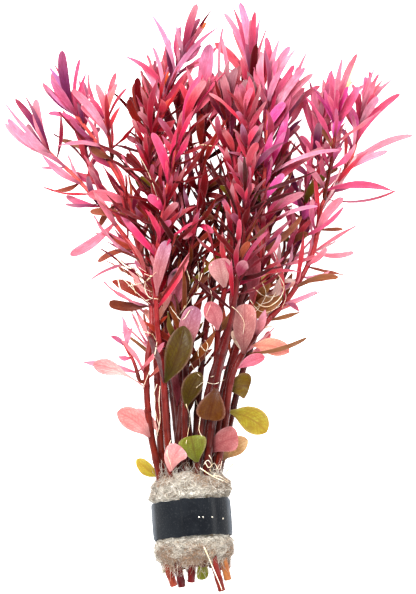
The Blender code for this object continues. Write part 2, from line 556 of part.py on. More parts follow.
class Placed:
    """The solids in place so far, against which each new leaf is tried."""

    def __init__(self):
        self.solids = []

    def measured(self, vertices, faces):
        """A search tree of the solid, with its lowest and highest corners."""
        low = Vector([min(point[k] for point in vertices) for k in range(3)])
        high = Vector([max(point[k] for point in vertices) for k in range(3)])
        return BVHTree.FromPolygons(vertices, faces), low, high

    def add(self, owner, kind, vertices, faces):
        """Keep a solid."""
        self.solids.append((owner, kind, *self.measured(vertices, faces)))

    def hits(self, vertices, faces, counts):
        """Whether a new solid crosses one in place whose owner and kind count."""
        tree, low, high = self.measured(vertices, faces)
        for owner, kind, kept, kept_low, kept_high in self.solids:
            if not counts(owner, kind):
                continue
            if any(low[k] > kept_high[k] or kept_low[k] > high[k] for k in range(3)):
                continue
            if tree.overlap(kept):
                return True
        return False


def free_leaf(placed, owner, foot, tip, bow, arch, stations, width, thickness, roll, sides=3):
    """The leaf nearest to the one asked for that is clear of all the others, or None."""
    fused = sides == 3

    def others(other, kind):
        return not fused or other != owner

    def own_leaves(other, kind):
        return other == owner and kind == "leaf"

    for lift, turn in TRIES:
        end = tip + Vector((0, 0, lift * MM))
        if end.z > LEAF_CEILING:
            continue
        at = bent(foot, end, bow, arch)
        angle = roll + math.radians(turn)
        wide = loft(
            leaf_rings(at, stations, width, thickness, angle, sides, LEAF_MARGIN), at(TIP_MARGIN)
        )
        if min(point.z for point in wide[0]) < FLOOR_GAP:
            continue
        if placed.hits(*wide, others):
            continue
        if fused:
            past_foot = (PAST_FOOT, stations[0][1]), *stations[1:]
            free = loft(leaf_rings(at, past_foot, width, thickness, angle, sides), at(1.0))
            if placed.hits(*free, own_leaves):
                continue
        solid = loft(leaf_rings(at, stations, width, thickness, angle, sides), at(1.0))
        placed.add(owner, "leaf", *solid)
        return {"owner": owner, "at": at, "width": width, "roll": angle, "solid": solid}
    return None


def lay_out():
    """Every stem's line and every leaf, each clear of what was placed before it."""
    placed = Placed()
    lines = {}
    for name in (*ROUTES, *SHOOTS):
        line = shoot_line(name) if name in SHOOTS else stem_line(name)
        radii = [stem_radius(name, i / (len(line) - 1)) for i in range(len(line))]
        placed.add(name, "stem", *tube(line, radii))
        lines[name] = resample(line, LOOK_STEP)

    broad = []
    for name, x0, y0, x1, y1, width, bow, lift, roll in BROAD_LEAVES:
        line = lines[name]
        axis = line[nearest(line, x0, y0)]
        tip = place(x1, y1, axis.z / MM + lift)
        outward = ((tip - axis).normalized() * FOOT_LEAN + Vector((0, 0, 1))).normalized()
        foot = axis + outward * (STEM_RADIUS + GAP + BROAD_THICKNESS)
        leaf = free_leaf(
            placed, "broad", foot, tip, bow * PIXEL, BROAD_ARCH * (tip - foot).length,
            BROAD_STATIONS, width * PIXEL, BROAD_THICKNESS, math.radians(roll), sides=4,
        )
        broad.append(leaf)

    narrow = {name: [] for name in lines}
    for name, leaves in LEAVES.items():
        line = lines[name]
        feet = []
        for x0, y0, x1, y1, width, bow, lift in leaves:
            i = nearest(line, x0, y0)
            while feet.count(i) == 2:
                i -= 1
            feet.append(i)
            tip = place(x1, y1, max(MIN_TIP_HEIGHT, line[i].z / MM + lift))
            foot = line[i] + (tip - line[i]).normalized() * TIP_RADIUS * FOOT_OUT
            leaf = free_leaf(
                placed, name, foot, tip, bow * PIXEL, NARROW_ARCH * (tip - foot).length,
                WIDE_STATIONS if width >= WIDE_LEAF else NARROW_STATIONS,
                width * PIXEL, LEAF_THICKNESS, 0.0,
            )
            if leaf:
                narrow[name].append(leaf)
    return lines, broad, narrow


def material(name, colour, roughness):
    """A plain Principled material."""
    made = bpy.data.materials.new(name)
    made.use_nodes = True
    shader = made.node_tree.nodes["Principled BSDF"]
    shader.inputs["Base Color"].default_value = (*colour, 1)
    shader.inputs["Roughness"].default_value = roughness
    made.diffuse_color = (*colour, 1)
    return made


def mesh_object(name, collection, vertices, faces, made_of=None):
    """An object from the vertices and faces of a loft, with its faces pointing out."""
    mesh = bpy.data.meshes.new(name)
    mesh.from_pydata([tuple(point) for point in vertices], [], faces)
    shape = bmesh.new()
    shape.from_mesh(mesh)
    bmesh.ops.recalc_face_normals(shape, faces=shape.faces)
    shape.to_mesh(mesh)
    shape.free()
    if made_of:
        mesh.materials.append(made_of)
    thing = bpy.data.objects.new(name, mesh)
    collection.objects.link(thing)
    return thing


def tube_object(name, collection, line, radii, made_of):
    """A stem: a bevelled curve through the line, made a closed mesh."""
    curve = bpy.data.curves.new(name, "CURVE")
    curve.dimensions = "3D"
    curve.bevel_depth = 1.0
    curve.bevel_resolution = SIX_SIDES
    curve.use_fill_caps = True
    spline = curve.splines.new("POLY")
    spline.points.add(len(line) - 1)
    for point, here, radius in zip(spline.points, line, radii):
        point.co = (*here, 1)
        point.radius = radius
    guide = bpy.data.objects.new(name + "_curve", curve)
    collection.objects.link(guide)
    graph = bpy.context.evaluated_depsgraph_get()
    graph.update()
    mesh = bpy.data.meshes.new_from_object(guide.evaluated_get(graph))
    bpy.data.objects.remove(guide)
    shape = bmesh.new()
    shape.from_mesh(mesh)
    bmesh.ops.remove_doubles(shape, verts=shape.verts, dist=WELD)
    bmesh.ops.recalc_face_normals(shape, faces=shape.faces)
    shape.to_mesh(mesh)
    shape.free()
    mesh.materials.clear()
    mesh.materials.append(made_of)
    mesh.name = name
    thing = bpy.data.objects.new(name, mesh)
    collection.objects.link(thing)
    return thing


def hide(tool):
    """Keep a cutter out of the model."""
    tool.hide_render = True
    tool.display_type = "WIRE"


def grow(name, parts, tools, line, leaves, made_of):
    """A stem or a side shoot with the leaves that grow from it, as one body."""
    radii = [stem_radius(name, i / (len(line) - 1)) for i in range(len(line))]
    stem = tube_object(name, parts, line, radii, made_of)
    if not leaves:
        return stem
    group = bpy.data.collections.new(name + "_leaves")
    tools.children.link(group)
    for i, leaf in enumerate(leaves):
        hide(mesh_object(f"{name}_leaf_{i + 1:02}", group, *leaf["solid"], made_of))
    join = stem.modifiers.new("leaves", "BOOLEAN")
    join.operation = "UNION"
    join.operand_type = "COLLECTION"
    join.collection = group
    return stem


def ellipse_point(angle, outset, floor):
    """A point of the bundle's outline, pushed out, and flat where it rests."""
    x = (PLUG_HALF_WIDTH + outset) * math.cos(angle)
    z = PLUG_MIDDLE_HEIGHT + (PLUG_HALF_HEIGHT + outset) * math.sin(angle)
    return x, max(floor, z)


def leaning(x, way, z):
    """A point of the plug, moved towards the tips the higher it is."""
    return x, way + z * PLUG_LEAN, z


def swell_at(way):
    """How far the wool stands out at this place along the plug."""
    for (a, low), (b, high) in zip(PLUG_PROFILE, PLUG_PROFILE[1:]):
        if way <= b:
            return low + (high - low) * (max(a, way) - a) / (b - a)
    return PLUG_PROFILE[-1][1]


def wool_wrap(parts, tools, made_of):
    """The plug: a cylinder squashed into a bundle, waisted under the strip, with a hole a stem."""
    mesh = bpy.data.meshes.new("wool_wrap")
    shape = bmesh.new()
    bmesh.ops.create_cone(
        shape, cap_ends=True, segments=PLUG_FACETS, radius1=1, radius2=1,
        depth=PLUG_ABOVE + PLUG_BELOW,
    )
    bmesh.ops.translate(shape, verts=shape.verts, vec=(0, 0, (PLUG_ABOVE - PLUG_BELOW) / 2))
    for way, _ in PLUG_PROFILE[1:-1]:
        everything = shape.verts[:] + shape.edges[:] + shape.faces[:]
        bmesh.ops.bisect_plane(shape, geom=everything, plane_co=(0, 0, way), plane_no=(0, 0, 1))
    for vertex in shape.verts:
        way = vertex.co.z
        angle = math.atan2(vertex.co.y, vertex.co.x)
        swell = swell_at(way)
        lump = noise.noise(Vector((math.cos(angle), math.sin(angle), way * LUMPS_PER_METRE)))
        outset = swell + lump * LUMP_SIZE * (swell > 0)
        floor = FLOOR_GAP if swell > 0 else STRIP_THICKNESS + GAP
        x, z = ellipse_point(angle, outset, floor)
        vertex.co = leaning(x, way, z)
    bmesh.ops.recalc_face_normals(shape, faces=shape.faces)
    shape.to_mesh(mesh)
    shape.free()
    mesh.materials.append(made_of)
    wool = bpy.data.objects.new("wool_wrap", mesh)
    wool.rotation_euler.z = BUNDLE_TURN
    parts.objects.link(wool)

    group = bpy.data.collections.new("stem_holes")
    tools.children.link(group)
    way = along_bundle()
    for name in ROUTES:
        through = place(*ROUTES[name][0])
        through -= way * through.dot(way)
        hole = bpy.data.meshes.new(name + "_hole")
        shape = bmesh.new()
        radius = (STEM_RADIUS + HOLE_CLEARANCE) / math.cos(math.pi / HOLE_SIDES)
        bmesh.ops.create_cone(
            shape, cap_ends=True, segments=HOLE_SIDES, radius1=radius, radius2=radius,
            depth=HOLE_LENGTH,
        )
        shape.to_mesh(hole)
        shape.free()
        tool = bpy.data.objects.new(name + "_hole", hole)
        tool.rotation_euler = (math.pi / 2, 0, BUNDLE_TURN)
        tool.location = through
        group.objects.link(tool)
        hide(tool)
    cut = wool.modifiers.new("stem holes", "BOOLEAN")
    cut.operation = "DIFFERENCE"
    cut.operand_type = "COLLECTION"
    cut.collection = group
    return wool


def band(parts, made_of):
    """The strip: wound once round the plug, with its end lapped over its beginning."""
    vertices = []
    faces = []
    for i in range(STRIP_FACETS + 1):
        turned = (2 * math.pi + STRIP_LAP) * i / STRIP_FACETS
        climb = min(1.0, max(0.0, (turned - 2 * math.pi + STRIP_CLIMB) / STRIP_CLIMB))
        outset = GAP + climb * (STRIP_THICKNESS + STRIP_SLACK)
        x, z = ellipse_point(STRIP_LAP_START + turned, outset, STRIP_THICKNESS)
        vertices += [leaning(x, -STRIP_WIDTH / 2, z), leaning(x, STRIP_WIDTH / 2, z)]
        if i:
            faces.append((2 * i - 2, 2 * i - 1, 2 * i + 1, 2 * i))
    mesh = bpy.data.meshes.new("band")
    mesh.from_pydata(vertices, [], faces)
    mesh.materials.append(made_of)
    strip = bpy.data.objects.new("band", mesh)
    strip.rotation_euler.z = BUNDLE_TURN
    parts.objects.link(strip)
    solid = strip.modifiers.new("thickness", "SOLIDIFY")
    solid.thickness = STRIP_THICKNESS
    solid.offset = 1.0
    solid.use_even_offset = True
    return strip


def main():
    """Build every piece of the bunch, each as a named object in the collection rotala."""
    for thing in list(bpy.data.objects):
        bpy.data.objects.remove(thing)
    parts = bpy.data.collections.new("rotala")
    tools = bpy.data.collections.new("cutters")
    bpy.context.scene.collection.children.link(parts)
    bpy.context.scene.collection.children.link(tools)

    wool_wrap(parts, tools, material("wool", WOOL_COLOUR, WOOL_ROUGHNESS))
    band(parts, material("strip", STRIP_COLOUR, STRIP_ROUGHNESS))
    lines, broad, narrow = lay_out()
    for i, name in enumerate(lines):
        line = shoot_line(name) if name in SHOOTS else stem_line(name)
        made_of = material(name, STEM_COLOURS[i % len(STEM_COLOURS)], STEM_ROUGHNESS)
        grow(name, parts, tools, line, narrow[name], made_of)
    for i, leaf in enumerate(broad):
        name = f"broad_leaf_{i + 1:02}"
        made_of = material(name, LEAF_COLOURS[i % len(LEAF_COLOURS)], LEAF_ROUGHNESS)
        mesh_object(name, parts, *leaf["solid"], made_of)


main()
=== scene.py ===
"""A bunch of rotala lying down: leafy stems, broad lower leaves, white roots, and the plug of wool
and dark strip that hold the foot of the bunch."""

import math
import random

import bpy
from bpy.props import FloatProperty, FloatVectorProperty, IntProperty, PointerProperty
from mathutils import Matrix, Vector, noise
from mathutils.bvhtree import BVHTree


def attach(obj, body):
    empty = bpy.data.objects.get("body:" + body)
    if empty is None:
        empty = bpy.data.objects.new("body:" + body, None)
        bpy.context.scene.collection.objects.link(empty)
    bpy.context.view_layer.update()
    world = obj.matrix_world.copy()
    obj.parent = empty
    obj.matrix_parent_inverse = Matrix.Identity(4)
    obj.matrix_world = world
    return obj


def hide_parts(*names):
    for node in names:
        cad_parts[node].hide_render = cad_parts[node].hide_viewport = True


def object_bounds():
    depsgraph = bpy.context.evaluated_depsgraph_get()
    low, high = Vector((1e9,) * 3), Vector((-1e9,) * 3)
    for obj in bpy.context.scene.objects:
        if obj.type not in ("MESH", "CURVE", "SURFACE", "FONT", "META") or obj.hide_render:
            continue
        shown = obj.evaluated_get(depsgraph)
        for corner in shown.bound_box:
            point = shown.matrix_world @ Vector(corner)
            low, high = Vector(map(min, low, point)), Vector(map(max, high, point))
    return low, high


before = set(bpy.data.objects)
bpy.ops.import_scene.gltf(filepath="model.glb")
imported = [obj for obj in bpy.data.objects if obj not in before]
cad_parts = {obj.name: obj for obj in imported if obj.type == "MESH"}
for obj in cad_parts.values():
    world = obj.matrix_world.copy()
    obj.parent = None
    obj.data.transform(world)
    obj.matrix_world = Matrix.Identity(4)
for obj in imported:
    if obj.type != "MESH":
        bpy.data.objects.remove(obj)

bl_info = {
    "name": "Rotala bunch",
    "version": (1, 0, 0),
    "blender": (4, 5, 0),
    "location": "3D View > Sidebar > Rotala",
    "description": "Builds a wrapped bunch of rotala stems, its leaves and its roots",
    "category": "Add Mesh",
}

CAD_BOX = [list(corner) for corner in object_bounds()]
BODY = "root"

VIEW_SIZE = (416, 594)  # pixels

# Sizes, gaps and sections of the part's solids, which the pieces here follow
MM = 0.001
STRIP_WIDTH = 14.0 * MM
STRIP_WIDTH_SEEN = 36.82  # pixels, taken back to the height of the surface
PIXEL = STRIP_WIDTH / STRIP_WIDTH_SEEN
VIEW_HEIGHT = 1200 * MM  # the eye, above the surface
VIEW_MIDDLE = (208, 297)
ORIGIN_SEEN = (192.4, 522.2)
GAP = 0.35 * MM  # between pieces that lie together
FLOOR_GAP = 0.15 * MM  # under the lowest leaves
STEM_RADIUS = 1.45 * MM
TIP_RADIUS = 0.6 * MM
SHOOT_RADIUS = 0.8 * MM
STEM_STEP = 20.0 * MM  # between the points of a stem's curve
SHOOT_STEP = 9 * MM
LOOK_STEP = 1.2 * MM  # between the points where a leaf may grow
EVEN_SHARE = 0.2  # of the stem's length, before it tapers
SMOOTH_STEPS = 8  # points of a smooth route for each point that is given
BUNDLE_TURN = math.radians(4.5)
PLUG_MIDDLE_HEIGHT = 13.6 * MM
PLUG_HALF_WIDTH = 13.6 * MM
PLUG_HALF_HEIGHT = 12.75 * MM
PLUG_ABOVE = 16.0 * MM  # from the middle of the strip to the wool's end, towards the tips
PLUG_BELOW = 15.5 * MM
PLUG_LEAN = 0.14  # towards the tips, for each unit of height
STRIP_THICKNESS = 1.1 * MM
STRIP_SLACK = 0.3 * MM  # under the lapped end
STRIP_LAP_START = math.radians(66)  # round from +X, over the top
STRIP_LAP = math.radians(38)
STRIP_CLIMB = math.radians(16)  # where the lapped end climbs over the beginning
PLUG_PROFILE = (  # way along the plug, and how far the wool swells there
    (-PLUG_BELOW, -1.2 * MM), (-14.2 * MM, 0.2 * MM), (-11.5 * MM, 0.7 * MM),
    (-8.7 * MM, 0.6 * MM), (-7.45 * MM, 0), (7.45 * MM, 0), (8.9 * MM, 1.1 * MM),
    (11.5 * MM, 1.2 * MM), (14 * MM, 0.2 * MM), (PLUG_ABOVE, -1.8 * MM),
)
LUMPS_PER_METRE = 120
CLEAR_OF_WOOL = 0.6 * MM
LEAF_THICKNESS = 0.45 * MM
BROAD_THICKNESS = 0.8 * MM
LEAF_CEILING = 66 * MM
LEAF_MARGIN = 0.28 * MM
TIP_MARGIN = 1.015  # of the way along
PAST_FOOT = 0.15  # of the way along: nearer the foot, a stem's own leaves may meet
MIN_TIP_HEIGHT = 1.0  # millimetres
NARROW_ARCH = 0.06  # of the leaf's length
BROAD_ARCH = 0.08
MOST_BOW = 0.09  # of the leaf's length
FOOT_OUT = 0.3  # of the stem's radius at its tip: how far from the middle a leaf begins
FOOT_LEAN = 0.5  # how far a broad leaf's foot leans from straight up to its own direction
NEXT_SHARE = 0.02  # of the way along, for finding a leaf's direction
KEEL_PART = 0.3  # added to the share of the width for the depth of a leaf's keel
TURN_COST = 12  # degrees of roll that count as a millimetre of height
WIDE_LEAF = 8  # pixels: from here on a narrow leaf has a section more
WIDE_STATIONS = ((0.0, 0.2), (0.35, 0.92), (0.76, 0.88))  # (way along, share of the width)
NARROW_STATIONS = ((0.0, 0.25), (0.6, 1.0))
BROAD_STATIONS = ((0.0, 0.16), (0.3, 0.4), (0.58, 1.0), (0.86, 0.72))


def rows_of(text):
    """A table's rows, with its numbers as numbers."""
    rows = []
    for row in text.split(","):
        rows.append([item if item[0].isalpha() else float(item) for item in row.split()])
    return rows


def by_name(text):
    """The rows of each stem or outline, behind its name."""
    found = {}
    for part in text.split(";"):
        name, rows = part.split(":")
        found[name.strip()] = rows_of(rows)
    return found


# Leaf tones, as sRGB
TONES = {
    "vivid": "F25AA6", "magenta": "DE4690", "pink": "F294B8", "pale": "FACED4", "orchid": "BE6AA2",
    "lilac": "DCB0D8", "rose": "D04C70", "raspberry": "A6264A", "crimson": "981430",
    "cherry": "B82E3A", "salmon": "EE7484", "coral": "EC7E6C", "peach": "F8C2B0", "tan": "C48E56",
    "cream": "F2E2AE", "orange": "E27E48", "rust": "A24432", "brick": "8A2E26", "mauve": "B65C70",
    "dusty": "CE8A98", "dusky": "9E3E60", "plum": "742048", "maroon": "6E101C", "wine": "480A10",
    "brown": "8A4630", "umber": "6C4214", "olive": "786418", "moss": "5E4C0E", "taupe": "A86A70",
    "blush": "DCA0A4", "yellow": "BAB43A", "green": "76842A",
}
GREEN_TONES = ("yellow", "green", "olive", "moss")
# Tones whose tips are paler and pinker
BLUSHING = {
    "vivid", "magenta", "pink", "pale", "orchid", "lilac", "rose", "raspberry", "crimson", "cherry",
    "salmon", "coral", "dusty", "dusky", "plum", "mauve", "peach",
}
# None of those is lighter than this, as linear red, green and blue
LIGHTEST = (0.96, 0.5, 0.66)

# Leaf outlines: way along and share of the width
OUTLINES = by_name("""
lance: 0 0.2, 0.2 0.6, 0.45 0.98, 0.68 0.86, 0.88 0.42, 1 0.04;
blade: 0 0.24, 0.2 0.55, 0.45 0.92, 0.72 1, 0.9 0.8, 0.97 0.5, 1 0.1;
strap: 0 0.14, 0.14 0.32, 0.36 0.8, 0.6 1, 0.86 0.95, 0.965 0.62, 1 0.2;
oval: 0 0.12, 0.12 0.3, 0.34 0.78, 0.58 1, 0.8 0.86, 0.94 0.48, 1 0.08;
spoon: 0 0.09, 0.3 0.13, 0.46 0.34, 0.66 0.92, 0.82 1, 0.95 0.6, 1 0.12;
fan: 0 0.14, 0.15 0.34, 0.38 0.72, 0.62 0.98, 0.84 1, 0.955 0.72, 1 0.3
""")

# Plain leaves in pairs between the others, too small and many to be solids: the stem, how many
# pairs, the first and the last pair's share of its length, and the tones low down and high up
FILLERS = rows_of("""
stem_01 8 0.45 0.9 blush+salmon+rust+peach rose+salmon+pink+blush,
stem_02 11 0.46 0.95 blush+salmon+brown+peach rose+raspberry+salmon+plum,
stem_03 14 0.46 0.97 tan+salmon+rust+blush raspberry+rose+cherry+dusky,
stem_04 15 0.44 0.97 brown+umber+rust+maroon maroon+raspberry+rose+plum,
stem_05 18 0.56 0.97 brown+cherry+rust+maroon rose+crimson+raspberry+pink+plum,
stem_06 17 0.58 0.97 mauve+maroon+crimson+raspberry raspberry+magenta+rose+crimson,
stem_07 18 0.46 0.97 brown+umber+maroon+brick maroon+rose+raspberry+brick,
stem_08 18 0.46 0.97 umber+olive+maroon+brown plum+raspberry+rose+maroon,
stem_09 17 0.6 0.97 brown+maroon+rust+umber maroon+raspberry+rose+salmon,
stem_10 17 0.6 0.97 brown+rust+cherry+maroon rose+raspberry+crimson+plum,
stem_11 17 0.6 0.97 salmon+brown+cherry+rust rose+raspberry+magenta+crimson,
stem_12 13 0.46 0.96 peach+salmon+blush+brown salmon+rose+pink+blush,
stem_13 15 0.47 0.97 salmon+peach+blush+rust raspberry+rose+plum,
stem_14 16 0.43 0.97 tan+salmon+blush+rust rose+magenta+plum+raspberry,
stem_15 16 0.42 0.97 umber+maroon+brown maroon+crimson+raspberry+plum,
stem_16 16 0.42 0.97 umber+maroon+brown maroon+crimson+plum,
stem_17 14 0.46 0.96 peach+salmon+brown+blush rose+salmon+pink,
stem_18 16 0.64 0.97 mauve+brown+maroon+raspberry raspberry+rose+dusky+plum,
side_shoot_02 3 0.15 0.9 cherry+salmon rose+salmon,
side_shoot_03 8 0.1 0.96 rose+salmon+raspberry rose+magenta+pink+dusky,
side_shoot_01 1 0.3 0.8 pink+rose pink+rose
""")
# Slender dark leaves that cross between the stems: how many a stem has, and their tones
STRANDS = rows_of("""
stem_03 9 maroon+cherry, stem_04 22 wine+maroon+crimson, stem_05 22 maroon+crimson+cherry,
stem_06 18 crimson+maroon, stem_07 26 wine+maroon+crimson+brick, stem_08 26 wine+maroon+brick,
stem_09 24 wine+maroon+crimson, stem_10 24 wine+maroon+cherry, stem_11 20 maroon+crimson+cherry,
stem_13 11 maroon+cherry+brick, stem_14 9 maroon+rust+cherry, stem_15 26 wine+maroon+crimson,
stem_16 26 wine+maroon+crimson, stem_17 9 cherry+rust, stem_18 20 maroon+crimson+wine,
stem_12 8 cherry+rust, stem_01 5 cherry+rust, stem_02 6 cherry+maroon
""")
# How many leaves stand up together at a tip, and their tones
TUFTS = rows_of("""
stem_03 6 raspberry+rose, stem_04 5 maroon+rose, stem_05 9 pink+rose+salmon,
stem_06 7 pink+vivid+rose, stem_07 7 rose+salmon, stem_08 8 pink+rose+dusky,
stem_09 9 rose+plum+pink, stem_10 9 pink+rose+salmon, stem_11 9 rose+pink,
stem_12 7 rose+pink+mauve, stem_13 8 rose+mauve, stem_14 9 rose+pink+dusky,
stem_15 5 crimson+raspberry, stem_16 6 raspberry+crimson, stem_17 7 pink+rose, stem_18 7 mauve+rose,
side_shoot_03 6 rose+magenta, stem_01 3 pink+plum, stem_02 3 plum+rose
""")
# The colour of the stems' feet where they aren't red-brown
FEET = {
    "stem_01": "8E3E2C", "stem_02": "80342A", "stem_03": "4A1214", "stem_06": "4E1014",
    "stem_08": "6E1A1C", "stem_12": "A86E3A", "stem_17": "A06436", "stem_18": "86281E",
    "stem_13": "8E3A22", "stem_11": "7E2018",
}
# Stems that stand out from the others, brighter than those between them, whose darker tones are
# painted shade
OUTER_STEMS = (
    "stem_01", "stem_02", "stem_12", "side_shoot_01", "side_shoot_02", "stem_06", "stem_11",
)

# Each stem's route from the wool to its tip: x, y and height
ROUTES = by_name("""
stem_01: 160 480 16.5, 152 440 18, 147 405 19, 146 380 19.5, 149 350 19, 152 320 17.5, 150 292 16,
143 266 15, 132 250 14.5, 122 238 14, 114 222 13.5, 105 206 13, 93 194 12.5, 80 182 11, 70 170 9.5,
58 160 7.5, 46 149 5.5;
stem_02: 163 480 12, 160 440 12.5, 158 400 12.5, 156 360 12, 154 325 11, 149 295 10, 143 265 9.5,
137 243 10, 134 222 11, 130 203 12, 122 184 13, 114 168 14, 103 152 15, 92 141 16, 83 133 17,
76 124 18, 72 110 19;
stem_03: 170 480 7.5, 168 440 7, 166 400 6.5, 162 360 6, 157 325 5.5, 150 290 5, 143 262 4.5,
136 235 4.5, 128 217 5, 117 206 5.5, 106 197 6, 97 184 6.5, 90 170 7, 84 155 8, 81 138 9,
81 120 10;
stem_04: 182 480 4.6, 178 440 4.2, 173 400 4, 168 360 3.6, 163 320 4, 160 285 4.5, 158 255 5,
157 225 6, 155 200 8, 152 175 10, 150 150 12, 147 130 14, 143 112 16;
stem_05: 184 480 9.5, 181 440 9.5, 177 400 9.5, 171 360 10, 166 320 11, 160 285 12.5, 155 250 15,
151 215 18, 149 185 22, 149 160 27, 151 135 31, 157 116 34, 164 100 37, 172 85 39, 180 69 41,
185 55 43;
stem_06: 171 480 21, 168 445 24, 165 410 26, 163 375 27, 161 345 28, 156 312 29, 155 285 30,
157 255 31, 159 238 32, 163 215 33, 167 190 34, 170 170 35, 176 152 36, 184 136 37, 190 120 38,
196 105 39;
stem_07: 193 480 13.6, 190 440 14.5, 185 400 16, 180 360 18, 176 320 19.5, 172 285 20.5,
168 250 22, 165 220 23, 162 190 24, 160 165 25, 160 140 26, 162 120 26.5, 163 100 27, 160 85 28;
stem_08: 186 480 18.4, 185 445 19.5, 185 410 20.5, 185 380 21.5, 186 350 22, 183 322 22.5,
182 300 23.5, 186 275 25, 192 250 27, 196 225 28, 199 200 29, 201 175 30, 203 150 31, 204 130 32,
205 112 33;
stem_09: 204 480 17.8, 211 445 19, 214 405 20.5, 216 370 21.5, 217 335 23, 221 308 25, 226 285 28,
231 260 31, 233 235 33, 234 205 34, 234 180 35, 234 158 36, 230 143 37, 225 125 38, 222 105 39;
stem_10: 197 480 22.4, 200 440 24, 206 400 25.5, 214 370 26.5, 223 345 27, 235 313 26,
246 285 24.5, 253 255 24, 257 225 24.5, 258 195 25, 258 165 26, 257 140 27, 256 115 28, 254 95 29,
252 78 30;
stem_11: 211 480 12.8, 217 440 13.6, 224 400 14.5, 232 365 15, 241 335 15.5, 251 305 19,
259 280 24, 262 255 29, 262 230 32, 263 205 33.5, 265 180 34.5, 266 155 35.5, 267 135 36,
268 115 37, 268 95 38;
stem_12: 217 480 17.3, 222 440 19.5, 228 408 20.5, 232 378 20.5, 237 356 19.5, 246 343 18,
258 332 16, 270 320 14.5, 282 307 13.5, 292 293 13, 301 278 12.5, 309 262 12, 315 247 12,
320 230 12, 321 214 12, 323 203 12.5, 331 192 12.5, 341 178 12, 348 166 11.5, 353 153 11,
356 140 10.5, 359 127 10, 362 113 10;
stem_13: 207 480 7.6, 213 440 8, 221 400 8.5, 231 360 9, 243 325 9, 255 300 9, 268 280 9,
281 264 9.5, 292 246 10, 301 228 11, 306 208 12.5, 308 188 14, 309 170 15.5, 312 155 17,
316 140 18.5, 318 125 20;
stem_14: 196 480 4.2, 203 440 4, 212 400 4, 222 360 4, 233 325 4, 246 295 4.5, 257 270 5,
266 245 6, 272 220 7.5, 277 195 9.5, 280 170 12, 282 148 15, 284 128 18, 288 110 21;
stem_15: 196 480 8.9, 196 440 8.5, 198 400 8.5, 202 360 9, 207 320 10, 212 285 12, 218 250 14.5,
224 215 17, 229 180 20, 233 150 22, 236 125 24, 236 102 26;
stem_16: 175 480 15, 178 440 13.6, 183 400 12, 187 360 11.6, 189 320 13, 189 285 15, 187 250 17.5,
184 220 19.5, 181 190 21, 179 160 22, 178 135 24, 178 115 26;
stem_17: 219 480 10.8, 226 440 9.8, 234 405 9, 243 370 8.5, 254 340 8, 265 312 7.5, 277 288 7,
288 267 6.5, 297 248 6.5, 305 228 6.5, 312 205 7, 318 185 8, 322 165 9.5, 325 148 11, 326 132 12,
327 115 13;
stem_18: 207 480 22, 210 445 25, 213 410 28.5, 218 375 31.5, 226 345 34, 232 315 35.5, 236 290 37,
240 262 38.5, 243 235 39.5, 246 205 40.5, 248 175 41.5, 249 150 42.5, 248 130 43, 245 110 44
""")

# Side shoots: the stem each grows from, and its route
SHOOTS = {
    "side_shoot_01": (
        "stem_01",
        ((146, 392, 19.4), (139, 380, 19.5), (136, 367, 19), (130, 355, 18), (124, 344, 17)),
    ),
    "side_shoot_02": (
        "stem_02",
        ((114, 168, 14), (112, 155, 17), (110, 143, 19), (108, 130, 20.5), (105, 115, 22)),
    ),
    "side_shoot_03": (
        "stem_12",
        (
            (322, 208, 12.3), (325, 192, 16), (329, 174, 19), (332, 158, 21), (334, 142, 22.5),
            (335, 128, 24), (336, 112, 25),
        ),
    ),
}

# Where each stem is cut off below the wool
CUT_ENDS = by_name("""
stem_01: 174 586 15;
stem_02: 172 572 9;
stem_03: 181 580 5.5;
stem_04: 190 571 3.2;
stem_05: 192 568 8;
stem_06: 182 587 20;
stem_07: 198 566 13;
stem_08: 191 582 17;
stem_09: 213 567 17.5;
stem_10: 203 565 21;
stem_11: 219 570 12;
stem_12: 228 580 16.5;
stem_13: 218 574 6;
stem_14: 204 572 3.2;
stem_15: 205 568 8.5;
stem_16: 183 568 14;
stem_17: 227 568 9.5;
stem_18: 222 591 21
""")

